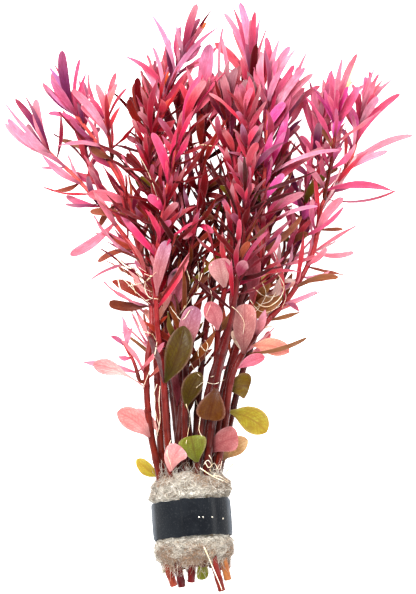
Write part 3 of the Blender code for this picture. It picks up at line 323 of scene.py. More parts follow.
# Narrow leaves: the seen foot, the seen tip, width and sideways bow in pixels, rise in mm, tone
LEAVES = by_name("""
stem_01: 47 150 36 99 9 3 9 salmon, 46 149 15 99 7 -3 4 plum, 46 150 24 94 4 -2 12 plum,
53 157 8 119 8 4 2 pale, 49 153 4 102 4 2 7 lilac, 50 154 5 123 6 5 -2 lilac,
57 159 60 110 4 -3 11 crimson, 66 168 38 168 3 0 0 mauve, 70 170 30 150 4 -6 -5 mauve,
80 182 55 190 5 3 -7 rust, 100 201 65 204 4 2 4 dusky, 114 222 70 255 10 3 3 salmon,
105 206 88 176 6 3 6 plum, 132 250 98 262 6 -4 5 rust;
stem_02: 74 119 41 80 3 2 5 orchid, 73 117 47 65 5 -3 9 orchid, 73 115 53 62 3 -2 14 rose,
72 112 63 52 10 3 12 plum, 72 110 80 59 4 3 16 rose, 73 113 87 72 4 3 10 rose,
130 204 88 195 11 -3 6 salmon, 134 220 90 212 8 -3 5 brown, 92 141 70 118 5 2 9 dusky,
143 264 88 282 3 -12 8 mauve, 139 250 112 237 5 2 7 rust, 103 152 80 142 5 -3 6 dusky,
170 562 163 573 5 0 0 green;
side_shoot_02: 110 140 72 90 8 -4 6 pale, 110 137 81 106 8 -3 2 salmon,
109 134 96 84 7 -3 9 salmon, 106 122 86 94 4 -2 5 rose, 105 115 103 96 4 0 8 rose,
105 116 112 86 4 2 11 pale, 106 117 117 84 5 2 7 peach, 107 122 127 88 3 3 9 mauve,
109 134 121 106 4 2 4 salmon, 112 158 91 147 7 2 4 brown;
stem_03: 81 122 70 96 5 2 8 salmon, 81 128 92 100 5 2 5 rose, 84 155 60 140 5 -3 -3 brown,
90 170 108 148 5 3 4 dusky, 97 184 74 176 5 -3 -4 brown, 117 206 100 226 6 -3 -3 brown,
84 150 100 128 6 3 2 dusky;
stem_04: 145 122 135 83 8 2 7 rust, 147 130 129 99 8 3 5 brick, 144 115 146 84 5 2 8 rose,
149 143 127 136 6 3 3 dusky, 152 177 127 153 7 4 2 maroon, 154 196 136 178 6 3 2 olive,
157 225 138 205 6 3 2 brown;
stem_05: 177 74 151 14 5 -4 8 pink, 184 56 176 25 4 0 8 pale, 185 58 197 4 8 2 12 rose,
185 60 200 18 6 3 6 dusky, 184 61 206 22 6 2 2 orange, 184 62 212 10 3 2 9 maroon,
164 100 220 26 5 8 16 pink, 181 68 177 42 3 0 12 pale, 168 92 124 56 5 -12 2 rose,
163 102 153 47 4 -3 6 pale, 160 108 140 62 6 -4 2 pale, 157 116 178 96 5 2 6 coral,
151 135 138 112 6 -3 3 dusky, 149 160 160 134 5 3 5 brown;
stem_06: 184 136 200 76 8 4 9 vivid, 168 188 152 133 9 -4 6 vivid, 163 214 148 196 9 -2 5 vivid,
190 120 180 84 6 -3 7 rose, 196 106 204 78 5 2 10 rose, 195 108 186 66 5 -2 12 pink,
176 152 158 118 6 -3 5 dusky, 161 224 178 203 7 3 5 mauve, 159 238 171 221 7 3 7 magenta;
stem_07: 163 98 168 72 7 2 8 orange, 160 87 150 60 5 2 8 rose, 161 88 163 60 5 0 12 salmon,
160 140 136 122 6 3 3 dusky, 161 168 138 146 6 3 3 brown, 160 165 181 150 6 -3 3 mauve,
163 196 141 176 6 3 3 olive;
stem_08: 205 114 210 44 14 3 12 pink, 200 195 222 179 7 3 6 umber, 198 207 185 213 7 -1 5 maroon,
198 209 214 219 7 -1 4 umber, 200 190 190 176 7 3 7 maroon, 199 196 224 199 6 3 4 maroon,
202 172 197 153 6 -2 6 mauve, 203 150 202 114 8 2 6 brick, 196 225 182 238 6 3 5 dusky,
196 225 213 233 6 3 5 magenta, 205 116 192 92 6 -3 7 rose, 204 126 218 100 6 3 4 dusky;
stem_09: 230 143 222 37 4 -3 6 pink, 225 125 236 68 9 3 4 plum, 230 142 247 80 8 4 3 plum,
226 130 221 72 8 -3 8 dusky, 234 157 222 130 7 -3 6 salmon, 222 107 223 27 3 4 12 dusty,
222 107 214 82 6 -2 5 plum, 234 180 247 158 6 3 5 mauve, 234 205 220 186 6 -3 5 olive,
223 112 229 60 6 2 10 dusky;
stem_10: 254 82 224 13 6 -5 8 pink, 253 80 232 5 5 -3 12 rose, 253 79 240 2 8 -3 16 pink,
252 79 250 18 5 0 14 mauve, 252 80 255 11 6 2 18 rose, 252 81 261 15 5 3 12 pink,
253 84 233 27 7 -3 4 salmon, 253 86 268 25 3 3 8 pale, 254 92 215 43 9 -5 3 salmon,
253 84 246 45 7 -2 8 plum, 253 84 256 46 7 2 6 maroon, 257 125 243 98 6 -3 4 dusky,
258 165 242 143 7 -3 4 mauve, 200 561 202 580 12 0 -3 green;
stem_11: 268 98 266 37 7 -3 10 rose, 268 97 280 38 5 3 8 pink, 268 100 290 46 8 4 4 pale,
268 102 297 48 5 4 7 pale, 267 134 285 103 9 4 5 vivid, 267 136 305 68 8 6 2 pink,
267 140 313 74 7 7 -2 rose, 266 150 305 88 9 6 -5 rose, 265 178 340 150 4 12 0 pink,
264 198 325 148 7 6 -5 crimson, 262 230 318 206 4 8 -4 pale, 268 110 263 44 4 -4 15 dusky,
268 104 277 60 6 2 12 magenta, 266 155 250 132 6 -3 4 dusky, 263 205 249 190 6 -3 3 olive;
stem_14: 286 118 320 86 6 4 9 mauve, 288 112 308 50 4 3 10 pale, 279 180 297 160 8 3 6 rose,
287 114 277 76 6 -3 6 dusky, 288 112 292 74 6 2 9 pink, 285 124 300 102 6 3 3 salmon,
283 145 300 126 6 3 3 mauve, 284 130 272 108 5 -3 2 maroon, 276 198 258 178 6 -3 3 olive,
266 245 250 228 6 -3 2 dusky;
stem_13: 314 148 309 79 5 -3 9 rose, 318 128 314 92 6 0 9 mauve, 318 127 322 92 5 2 6 salmon,
303 222 317 204 11 4 7 vivid, 307 206 325 176 9 4 6 olive, 306 210 286 196 9 -3 5 magenta,
292 246 308 234 7 3 5 brown, 292 246 276 232 6 -3 4 olive, 309 178 294 166 6 -3 3 dusky,
312 155 300 136 6 -3 3 rose;
stem_15: 236 104 240 66 7 2 8 mauve, 236 106 228 78 6 -2 4 dusky, 236 118 250 98 6 2 3 rose,
229 180 244 164 6 3 4 dusky, 224 215 210 200 6 -3 4 olive, 218 250 204 236 6 -3 4 brown;
stem_16: 178 117 172 86 7 -2 7 rose, 178 118 186 92 6 2 5 mauve, 179 150 190 132 6 3 3 dusky,
181 190 170 172 6 -3 4 magenta, 184 220 176 202 6 -2 4 brown, 187 250 176 236 6 -3 4 olive;
stem_17: 327 120 324 80 4 -2 8 pink, 327 118 332 70 6 2 9 rose, 326 130 355 80 4 6 10 pale,
326 135 316 108 5 -2 3 salmon, 322 165 306 148 6 -3 2 dusky, 318 185 338 168 6 3 -2 brown,
297 248 282 238 5 -3 2 olive, 312 205 298 190 6 -3 -2 brown;
side_shoot_03: 336 114 338 69 4 0 10 rose, 336 113 343 55 5 2 15 pink, 336 114 350 60 4 2 10 mauve,
336 115 356 55 6 3 12 salmon, 336 118 358 63 8 4 5 cream, 335 124 364 85 5 4 2 pink,
334 140 345 112 8 3 4 magenta, 335 126 328 96 5 -2 6 rose, 333 150 322 130 6 -3 3 brown,
331 164 342 148 5 2 3 dusky;
stem_12: 362 115 370 71 4 -2 9 rose, 362 114 375 67 4 2 12 pink, 362 115 378 75 4 2 6 mauve,
362 116 385 78 4 3 8 salmon, 361 118 396 77 4 5 4 pink, 357 138 383 85 7 5 0 salmon,
354 150 400 94 7 14 -2 rose, 344 176 413 135 7 8 -6 salmon, 326 200 397 190 3 -9 6 mauve,
330 194 354 187 5 2 -4 dusky, 320 236 343 198 9 5 4 salmon, 321 229 343 229 4 0 -4 brown,
315 252 354 252 6 -4 -5 salmon, 302 277 330 271 4 -3 -3 lilac, 300 280 282 281 4 0 3 blush,
287 301 299 312 5 2 -4 dusky, 357 137 348 106 8 -3 4 vivid, 361 118 352 84 5 -3 3 rose,
348 166 374 152 6 3 -5 peach, 353 153 340 128 5 -3 4 dusky;
side_shoot_01: 125 346 122 316 5 -2 4 pink, 127 350 133 327 5 3 2 pink,
126 348 110 336 5 -2 -3 dusky, 131 357 118 356 5 2 -4 rose;
stem_18: 245 112 240 84 6 -2 5 mauve, 246 114 252 88 6 2 5 pink, 248 130 236 112 6 -2 3 dusky,
248 172 258 143 8 3 4 mauve, 246 205 234 184 6 -3 4 dusky, 246 205 254 184 6 3 4 rose,
243 235 231 214 7 -3 4 plum, 240 262 250 242 7 3 4 brown, 249 150 258 126 6 3 4 rose
""")

# Broad leaves: the stem, the same numbers, the roll in degrees, the tone and the outline
BROAD_LEAVES = rows_of("""
stem_06 160 300 168 241 13 3 3 10 dusty strap, stem_07 175 314 177 268 18 0 5 0 pink oval,
stem_09 225 290 218 259 22 0 8 0 pale fan, stem_11 251 303 254 255 15 0 12 0 mauve strap,
stem_12 239 354 245 304 23 0 10 0 blush strap, stem_08 187 362 196 307 20 3 6 0 dusty strap,
stem_06 165 384 184 326 26 -3 4 0 moss oval, stem_06 163 385 150 336 10 -2 8 0 maroon strap,
stem_02 151 302 112 281 11 -3 3 0 rust oval, stem_02 151 306 109 303 10 2 -3 0 brown strap,
stem_01 143 390 93 364 16 -4 -4 0 pale spoon, stem_12 246 343 289 353 19 6 2 20 peach oval,
stem_12 234 368 265 357 12 2 2 10 pink oval, stem_18 216 386 209 420 28 0 2 0 umber fan,
stem_11 226 392 250 386 26 2 1 0 olive fan, stem_12 229 409 267 432 26 4 -1 0 yellow oval,
stem_09 211 453 238 437 24 3 7 0 taupe fan, stem_17 222 462 248 440 18 3 4 0 cream oval,
stem_10 199 465 191 436 27 0 4 0 green fan, stem_06 171 474 181 447 22 3 8 20 pale fan,
stem_01 151 438 117 412 22 -4 -4 0 blush oval, stem_02 161 432 135 411 10 -3 9 0 pale strap,
stem_02 162 478 137 459 14 2 -6 0 yellow oval, stem_07 187 418 193 386 9 0 6 0 umber strap,
stem_09 217 334 206 303 18 -3 4 0 dusty oval, stem_18 238 280 247 262 12 2 4 0 dusky oval,
stem_13 243 325 282 298 17 4 5 0 tan oval, stem_13 252 306 270 282 13 3 6 0 tan oval,
stem_08 187 410 201 373 20 3 5 0 moss oval, stem_05 178 408 174 371 10 -2 8 0 mauve strap
""")

# What is tried until a leaf is clear: a change of its tip's height in millimetres, and of its roll
# in degrees
LIFTS = (0, 2, -2, 4, -4, 6, -6, 9, -9, 13)
TURNS = (0, 30, -30, 60, -60)
TRIES = sorted(
    ((lift, turn) for lift in LIFTS for turn in TURNS),
    key=lambda change: abs(change[0]) + abs(change[1]) / TURN_COST,
)
# Sides of a leaf's section: flat above with a keel below, or a lens
KEELED = 3
LENS = 4

UP = Vector((0, 0, 1))
# The tone that leaves a material's own colour as it is
PLAIN = Vector((1, 1, 1))


def clamped(value, low=0.0, high=1.0):
    """The value, kept between two others."""
    return min(high, max(low, value))


def level(way):
    """The level direction across a way, to its right."""
    return way.cross(UP).normalized()


def way_at(line, i):
    """The direction of a line at one of its points."""
    return (line[min(i + 1, len(line) - 1)] - line[max(i - 1, 0)]).normalized()


def place(x, y, height_mm):
    """The point at this height that is seen at this pixel: what is nearer the eye looks larger."""
    height = height_mm * MM
    shrink = PIXEL * (1 - height / VIEW_HEIGHT)
    middle_x = (VIEW_MIDDLE[0] - ORIGIN_SEEN[0]) * PIXEL
    middle_y = (ORIGIN_SEEN[1] - VIEW_MIDDLE[1]) * PIXEL
    across = middle_x + (x - VIEW_MIDDLE[0]) * shrink
    return Vector((across, middle_y + (VIEW_MIDDLE[1] - y) * shrink, height))


def smooth(points):
    """A smooth line through the points, with SMOOTH_STEPS points for each that is given."""
    padded = [2 * points[0] - points[1], *points, 2 * points[-1] - points[-2]]
    line = []
    for a, b, c, d in zip(padded, padded[1:], padded[2:], padded[3:]):
        for step in range(SMOOTH_STEPS):
            t = step / SMOOTH_STEPS
            line.append(
                0.5 * (2 * b + (c - a) * t + (2 * a - 5 * b + 4 * c - d) * t**2
                       + (3 * b - a - 3 * c + d) * t**3)
            )
    line.append(points[-1].copy())
    return line


def lengths(line):
    """The way along the line to each of its points."""
    total = [0.0]
    for a, b in zip(line, line[1:]):
        total.append(total[-1] + (b - a).length)
    return total


def resample(line, step):
    """The same line with its points about a step apart."""
    total = lengths(line)
    count = max(2, round(total[-1] / step))
    points = []
    k = 0
    for i in range(count + 1):
        want = total[-1] * i / count
        while k < len(line) - 2 and total[k + 1] < want:
            k += 1
        points.append(line[k].lerp(line[k + 1], (want - total[k]) / (total[k + 1] - total[k])))
    return points


def along_bundle():
    """The direction of the plug of wool, towards the tips."""
    return Vector((-math.sin(BUNDLE_TURN), math.cos(BUNDLE_TURN), 0))


def stem_line(name):
    """A stem's line: its cut end, straight through the wool, and by its route to the tip."""
    route = [place(*point) for point in ROUTES[name]]
    way = along_bundle()
    here = route[0].dot(way)
    lean = route[0].z * PLUG_LEAN
    bottom = route[0] + way * (lean - PLUG_BELOW - CLEAR_OF_WOOL - here)
    route[0] = route[0] + way * (lean + PLUG_ABOVE + CLEAR_OF_WOOL - here)
    return [place(*CUT_ENDS[name][0]), bottom] + resample(smooth(route), STEM_STEP)


def shoot_line(name):
    """A side shoot's line, from just outside the stem that it grows from."""
    parent, points = SHOOTS[name]
    trunk = resample(stem_line(parent), LOOK_STEP)
    line = smooth([place(*point) for point in points])
    clear = STEM_RADIUS + SHOOT_RADIUS + GAP
    while min((point - line[0]).length for point in trunk) < clear:
        line.pop(0)
    return resample(line, SHOOT_STEP)


def stem_radius(name, share):
    """The radius at this share of the length: even through the wool, then tapering to the tip."""
    if name in SHOOTS:
        return SHOOT_RADIUS + (TIP_RADIUS - SHOOT_RADIUS) * share
    tapering = max(0.0, (share - EVEN_SHARE) / (1 - EVEN_SHARE))
    return STEM_RADIUS + (TIP_RADIUS - STEM_RADIUS) * tapering


def nearest(line, x, y):
    """The place on the line, short of its end, that is seen nearest to a pixel: its index."""
    return min(
        range(len(line) - 1), key=lambda i: (place(x, y, line[i].z / MM) - line[i]).length
    )


def bent(foot, tip, bow, arch):
    """A leaf's middle line from its foot to its tip, bowed sideways and arched upwards."""
    across = UP.cross(tip - foot).normalized()
    most = MOST_BOW * (tip - foot).length
    middle = (foot + tip) / 2 + across * clamped(bow, -most, most) * 2 + Vector((0, 0, arch * 2))

    def at(share):
        return foot.lerp(middle, share).lerp(middle.lerp(tip, share), share)

    return at


def leaf_frame(at, share, roll):
    """Across a leaf and up from it, at this share of its length."""
    way = (at(share + NEXT_SHARE) - at(share - NEXT_SHARE)).normalized()
    across = Matrix.Rotation(roll, 3, way) @ level(way)
    return across, across.cross(way)


def leaf_rings(at, stations, width, thickness, roll, sides, margin=0.0):
    """Cross-sections along a leaf's middle line: flat above with a keel below, or a lens."""
    rings = []
    for share, part in stations:
        here = at(share)
        across, up = leaf_frame(at, share, roll)
        half = across * (width * part / 2 + margin)
        deep = up * (thickness * min(1.0, part + KEEL_PART) + margin)
        ring = [here - half, here + half, here - deep]
        if sides == LENS:
            ring = [here - half, here + deep / 2, here + half, here - deep / 2]
        elif margin:
            ring = [here - half + up * margin, here + half + up * margin, here - deep]
        rings.append(ring)
    return rings


def loft(rings, tip):
    """Vertices and faces of a closed solid through the rings, which ends in a point."""
    sides = len(rings[0])
    vertices = [point for ring in rings for point in ring] + [tip]
    faces = [tuple(range(sides))]
    for start in range(0, sides * (len(rings) - 1), sides):
        for i in range(sides):
            j = (i + 1) % sides
            faces.append((start + i, start + sides + i, start + sides + j, start + j))
    last = sides * (len(rings) - 1)
    for i in range(sides):
        faces.append((last + i, len(vertices) - 1, last + (i + 1) % sides))
    return vertices, faces


def tube(line, radii, sides=8):
    """A closed tube round a line, for testing what is clear of it."""
    turns = [2 * math.pi * k / sides for k in range(sides)]
    rings = []
    for i, point in enumerate(line):
        way = way_at(line, i)
        across = level(way)
        up = across.cross(way)
        rings.append([point + (across * math.cos(a) + up * math.sin(a)) * radii[i] for a in turns])
    return loft(rings, line[-1] + (line[-1] - line[-2]).normalized() * radii[-1])


class Placed:
    """The solids in place so far, against which each new leaf is tried."""

    def __init__(self):
        self.solids = []

    def measured(self, vertices, faces):
        """A search tree of the solid, with its lowest and highest corners."""
        low = Vector([min(point[k] for point in vertices) for k in range(3)])
        high = Vector([max(point[k] for point in vertices) for k in range(3)])
        return BVHTree.FromPolygons(vertices, faces), low, high

    def add(self, owner, kind, vertices, faces):
        """Keep a solid."""
        self.solids.append((owner, kind, *self.measured(vertices, faces)))

    def hits(self, vertices, faces, counts):
        """Whether a new solid crosses one in place whose owner and kind count."""
        tree, low, high = self.measured(vertices, faces)
        for owner, kind, kept, kept_low, kept_high in self.solids:
            if not counts(owner, kind):
                continue
            if any(low[k] > kept_high[k] or kept_low[k] > high[k] for k in range(3)):
                continue
            if tree.overlap(kept):
                return True
        return False


def free_leaf(
    placed, owner, foot, tip, bow, arch, stations, width, thickness, roll, sides=KEELED
):
    """The leaf nearest to the one asked for that is clear of all the others, or None."""
    fused = sides == KEELED

    def others(other, kind):
        return not fused or other != owner

    def own_leaves(other, kind):
        return other == owner and kind == "leaf"

    for lift, turn in TRIES:
        end = tip + Vector((0, 0, lift * MM))
        if end.z > LEAF_CEILING:
            continue
        at = bent(foot, end, bow, arch)
        angle = roll + math.radians(turn)
        wide = loft(
            leaf_rings(at, stations, width, thickness, angle, sides, LEAF_MARGIN), at(TIP_MARGIN)
        )
        if min(point.z for point in wide[0]) < FLOOR_GAP:
            continue
        if placed.hits(*wide, others):
            continue
        if fused:
            past_foot = (PAST_FOOT, stations[0][1]), *stations[1:]
            free = loft(leaf_rings(at, past_foot, width, thickness, angle, sides), at(1.0))
            if placed.hits(*free, own_leaves):
                continue
        solid = loft(leaf_rings(at, stations, width, thickness, angle, sides), at(1.0))
        placed.add(owner, "leaf", *solid)
        return {"owner": owner, "at": at, "width": width, "roll": angle, "solid": solid}
    return None


def ellipse_point(angle, outset, floor):
    """A point of the bundle's outline, pushed out, and flat where it rests."""
    x = (PLUG_HALF_WIDTH + outset) * math.cos(angle)
    z = PLUG_MIDDLE_HEIGHT + (PLUG_HALF_HEIGHT + outset) * math.sin(angle)
    return x, max(floor, z)


def leaning(x, way, z):
    """A point of the plug, moved towards the tips the higher it is."""
    return x, way + z * PLUG_LEAN, z


def swell_at(way):
    """How far the wool stands out at this place along the plug."""
    for (a, low), (b, high) in zip(PLUG_PROFILE, PLUG_PROFILE[1:]):
        if way <= b:
            return low + (high - low) * (max(a, way) - a) / (b - a)
    return PLUG_PROFILE[-1][1]


def linear(code):
    """A colour from its sRGB code."""
    parts = [int(code[i:i + 2], 16) / 255 for i in (0, 2, 4)]
    return Vector([p / 12.92 if p <= 0.04045 else ((p + 0.055) / 1.055) ** 2.4 for p in parts])


def eased(low, high, value):
    """How far a value is from low to high, from 0 to 1, with soft ends."""
    share = clamped((value - low) / (high - low))
    return share * share * (3 - 2 * share)


def leaf_foot(line, x, y, feet):
    """Where on a stem's line a leaf seen at this pixel grows: no more than two to a place."""
    i = nearest(line, x, y)
    while feet.count(i) == 2:
        i -= 1
    feet.append(i)
    return i


def place_stems(placed):
    """Every stem's line, resampled for the leaves that grow from it."""
    lines = {}
    for name in (*ROUTES, *SHOOTS):
        line = shoot_line(name) if name in SHOOTS else stem_line(name)
        radii = [stem_radius(name, i / (len(line) - 1)) for i in range(len(line))]
        placed.add(name, "stem", *tube(line, radii))
        lines[name] = resample(line, LOOK_STEP)
    return lines


def place_broad(placed, lines):
    """The broad leaves, each with its tone and outline."""
    broad = []
    for row in BROAD_LEAVES:
        name, x0, y0, x1, y1, width, bow, lift, roll, tone, outline = row
        line = lines[name]
        axis = line[nearest(line, x0, y0)]
        tip = place(x1, y1, axis.z / MM + lift)
        outward = ((tip - axis).normalized() * FOOT_LEAN + UP).normalized()
        foot = axis + outward * (STEM_RADIUS + GAP + BROAD_THICKNESS)
        leaf = free_leaf(
            placed, "broad", foot, tip, bow * PIXEL, BROAD_ARCH * (tip - foot).length,
            BROAD_STATIONS, width * PIXEL, BROAD_THICKNESS, math.radians(roll), sides=LENS,
        )
        broad.append(leaf | {"tone": tone, "outline": outline})
    return broad


# Narrow leaves: in pixels, the width from which they are blunt, and the share of the others that
# are blunt too. Pointed ones are a little wider.
BLUNT_WIDTH = 6
BLUNT_SHARE = 0.3
POINTED_WIDER = 1.12


def place_narrow(placed, lines, chance):
    """The narrow leaves that are fused to the stems' solids, by stem."""
    narrow = {name: [] for name in lines}
    for name, leaves in LEAVES.items():
        line = lines[name]
        feet = []
        for x0, y0, x1, y1, width, bow, lift, tone in leaves:
            i = leaf_foot(line, x0, y0, feet)
            tip = place(x1, y1, max(MIN_TIP_HEIGHT, line[i].z / MM + lift))
            foot = line[i] + (tip - line[i]).normalized() * TIP_RADIUS * FOOT_OUT
            leaf = free_leaf(
                placed, name, foot, tip, bow * PIXEL, NARROW_ARCH * (tip - foot).length,
                WIDE_STATIONS if width >= WIDE_LEAF else NARROW_STATIONS,
                width * PIXEL, LEAF_THICKNESS, 0.0,
            )
            if leaf:
                blunt = width >= BLUNT_WIDTH or chance.random() < BLUNT_SHARE
                leaf["width"] *= 1.0 if blunt else POINTED_WIDER
                outline = "blade" if blunt else "lance"
                narrow[name].append(leaf | {"tone": tone, "outline": outline})
    return narrow


def in_box(point):
    """Whether a point is inside the part's own box."""
    return all(CAD_BOX[0][k] < point[k] < CAD_BOX[1][k] for k in range(3))


# Small leaves: the most they are turned about their length, and bowed as a share of it, and how
# much more they are arched than the others
SMALL_ROLL = math.radians(68)
SMALL_BOW = 0.1
MORE_ARCH = 1.4
# Between which shares of what is set their sizes and leans vary
TUFT_LENGTHS, TUFT_WIDTHS, TUFT_LEANS = (0.65, 1.1), (0.8, 1.25), (0.8, 1.2)
PAIR_LENGTHS, PAIR_WIDTHS, PAIR_LEANS = (0.6, 1.5), (0.5, 1.15), (0.4, 1.45)
STRAND_LENGTHS, STRAND_WIDTHS = (0.9, 1.7), (0.35, 0.75)
STRAND_LEANS = (15, 75)  # degrees
STRAND_LAST = 0.9  # of the stem's length
# A tuft's leaves: radians from one to the next, the first one's lean and what each adds, in degrees
TUFT_TURN = 2.4
TUFT_LEAN = 7
TUFT_OPENING = 3.4
# Between these shares of a stem's length its pairs change from the low tones to the high ones
HIGH_TONES = (0.55, 0.85)


def small_leaf(placed, chance, name, base, way, outward, lean, length, width):
    """A small leaf from a place on a stem, leaning out from the stem's direction."""
    foot = base + outward * TIP_RADIUS * FOOT_OUT
    tip = foot + (way * math.cos(lean) + outward * math.sin(lean)) * length
    tip.z = max(tip.z, MIN_TIP_HEIGHT * MM)
    if not in_box(tip):
        return None
    leaf = free_leaf(
        placed, name, foot, tip, chance.uniform(-SMALL_BOW, SMALL_BOW) * length,
        NARROW_ARCH * length * MORE_ARCH, NARROW_STATIONS, width, LEAF_THICKNESS,
        chance.uniform(-1, 1) * SMALL_ROLL,
    )
    return leaf if leaf and in_box(leaf["at"](1.0)) else None


def fill_in(placed, lines, narrow, settings, chance):
    """Small leaves in crossed pairs along the stems, and tufts of them at the tips."""
    for name, count, tones in TUFTS:
        line = lines[name]
        for k in range(int(count)):
            i = len(line) - 3 - k // 2
            way = (line[-1] - line[i - 4]).normalized()
            turn = k * TUFT_TURN + chance.uniform(-0.3, 0.3)
            outward = Matrix.Rotation(turn, 3, way) @ level(way)
            lean = math.radians(TUFT_LEAN + TUFT_OPENING * k) * chance.uniform(*TUFT_LEANS)
            length = settings.tuft_length * chance.uniform(*TUFT_LENGTHS)
            width = settings.filler_width * chance.uniform(*TUFT_WIDTHS)
            leaf = small_leaf(placed, chance, name, line[i], way, outward, lean, length, width)
            if leaf:
                look = chance.choice(("blade", "lance", "blade"))
                leaf |= {"tone": chance.choice(tones.split("+")), "outline": look}
                narrow[name].append(leaf)
    for name, pairs, first, last, low_tones, high_tones in FILLERS:
        line = lines[name]
        for k in range(int(pairs)):
            share = first + (last - first) * (k + chance.uniform(-0.2, 0.2)) / max(1, pairs - 1)
            i = clamped(round(share * (len(line) - 1)), 2, len(line) - 3)
            way = way_at(line, i)
            turn = (k % 2) * math.pi / 2 + chance.uniform(-0.5, 0.5)
            high = eased(*HIGH_TONES, share)
            for side in (0, math.pi):
                outward = Matrix.Rotation(turn + side, 3, way) @ level(way)
                length = settings.filler_length * chance.uniform(*PAIR_LENGTHS)
                length *= 1.2 - 0.3 * share
                width = settings.filler_width * chance.uniform(*PAIR_WIDTHS)
                lean = settings.lean * chance.uniform(*PAIR_LEANS) * (1.5 - 0.75 * share)
                leaf = small_leaf(placed, chance, name, line[i], way, outward, lean, length, width)
                if leaf:
                    tones = high_tones if chance.random() < high else low_tones
                    look = chance.choice(("blade", "lance", "lance"))
                    leaf |= {"tone": chance.choice(tones.split("+")), "outline": look}
                    narrow[name].append(leaf)


def cross_over(placed, lines, narrow, settings, chance):
    """Slender leaves at all angles between the stems."""
    for name, count, tones in STRANDS:
        line = lines[name]
        for k in range(int(count)):
            first = settings.strand_first
            share = first + (STRAND_LAST - first) * (k + 0.5) / count
            i = round(share * (len(line) - 1))
            way = way_at(line, i)
            outward = Matrix.Rotation(chance.uniform(0, 2 * math.pi), 3, way) @ level(way)
            length = settings.filler_length * chance.uniform(*STRAND_LENGTHS)
            width = settings.filler_width * chance.uniform(*STRAND_WIDTHS)
            lean = math.radians(chance.uniform(*STRAND_LEANS))
            leaf = small_leaf(placed, chance, name, line[i], way, outward, lean, length, width)
            if leaf:
                leaf |= {"tone": chance.choice(tones.split("+")), "outline": "lance"}
                narrow[name].append(leaf)


def lay_out(settings):
    """Every stem's line and every leaf, each clear of what was placed before it."""
    placed = Placed()
    chance = random.Random(settings.seed)
    lines = place_stems(placed)
    broad = place_broad(placed, lines)
    narrow = place_narrow(placed, lines, chance)
    fill_in(placed, lines, narrow, settings, chance)
    cross_over(placed, lines, narrow, settings, chance)
    return broad, narrow, placed


LEAST_WIDTH = 0.02  # as a share of a leaf's width


def outline_width(outline, share):
    """The share of a leaf's width at this share of its length."""
    for a, b in zip(outline, outline[1:]):
        if share <= b.x:
            return max(LEAST_WIDTH, a.y + (b.y - a.y) * (share - a.x) / (b.x - a.x))
    return max(LEAST_WIDTH, outline[-1].y)


def smooth_outline(name):
    """An outline's points joined by a smooth line."""
    return smooth([Vector((along, part, 0)) for along, part in OUTLINES[name]])


class Shape:
    """Vertices and faces gathered for one object, with what the materials read at each vertex."""

    def __init__(self):
        self.vertices = []
        self.faces = []
        self.marks = []
        self.tones = []

    def ring(self, points, marks, tones):
        """Add one closed ring of points."""
        self.vertices += points
        self.marks += marks
        self.tones += tones

    def close(self, start, sides, rings):
        """Join the rings that begin at this vertex into a closed skin with ends."""
        for row in range(rings - 1):
            low = start + row * sides
            for i in range(sides):
                j = (i + 1) % sides
                self.faces.append((low + i, low + j, low + sides + j, low + sides + i))
        last = start + (rings - 1) * sides
        self.faces.append(tuple(range(start + sides - 1, start - 1, -1)))
        self.faces.append(tuple(range(last, last + sides)))

    def build(self, name, material, sharp):
        """The object, shaded smooth but for its edges, riding on the part's body."""
        mesh = bpy.data.meshes.new(name)
        mesh.from_pydata([tuple(v) for v in self.vertices], [], self.faces)
        marks = mesh.attributes.new("marks", "FLOAT_VECTOR", "POINT")
        marks.data.foreach_set("vector", [x for mark in self.marks for x in mark])
        tones = mesh.attributes.new("tone", "FLOAT_COLOR", "POINT")
        tones.data.foreach_set("color", [x for tone in self.tones for x in (*tone, 1.0)])
        mesh.materials.append(material)
        mesh.shade_smooth()
        mesh.set_sharp_from_angle(angle=math.radians(sharp))
        thing = bpy.data.objects.new(name, mesh)
        bpy.context.scene.collection.objects.link(thing)
        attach(thing, BODY)
        return thing


# Painted light and shade on the leaves: those inside the bunch are painted deeper and redder, as
# shade, than those at its sides and its top, which are painted lighter, the left side's palest;
# those low down are warmer, and the top middle is painted dimmer than the sides
INSIDE_PAINTED_SHADE = Vector((1.36, 0.74, 0.69))
LEFT_PAINTED_LIGHT = Vector((1.4, 2.4, 2.4))
RIGHT_PAINTED_LIGHT = Vector((1.38, 2.2, 2.1))
TOP_PAINTED_SHADE = Vector((0.74, 0.84, 0.9))
LOW_SHADE = Vector((1.12, 1.42, 1.08))
BROAD_SHADE = Vector((1.06, 1.1, 0.93))
# Where one of these goes over into the next, in the part's x and y
LEFT_TO_RIGHT = (-34 * MM, 6 * MM)
LOW_REACH = (76 * MM, 106 * MM)
INSIDE_MIDDLE = -3 * MM
INSIDE_REACH = (21 * MM, 41 * MM)
INSIDE_TOP = (158 * MM, 182 * MM)
TOP_LIGHTER = 0.6  # how much less the top counts as inside
# Between these places along the bunch it spreads out from this share of its width
SPREADING = (70 * MM, 130 * MM)
NARROWEST = 0.42
LOOKED_AT = 0.8  # of a leaf's length: the place that counts
TONE_SPREAD = (0.78, 1.14)


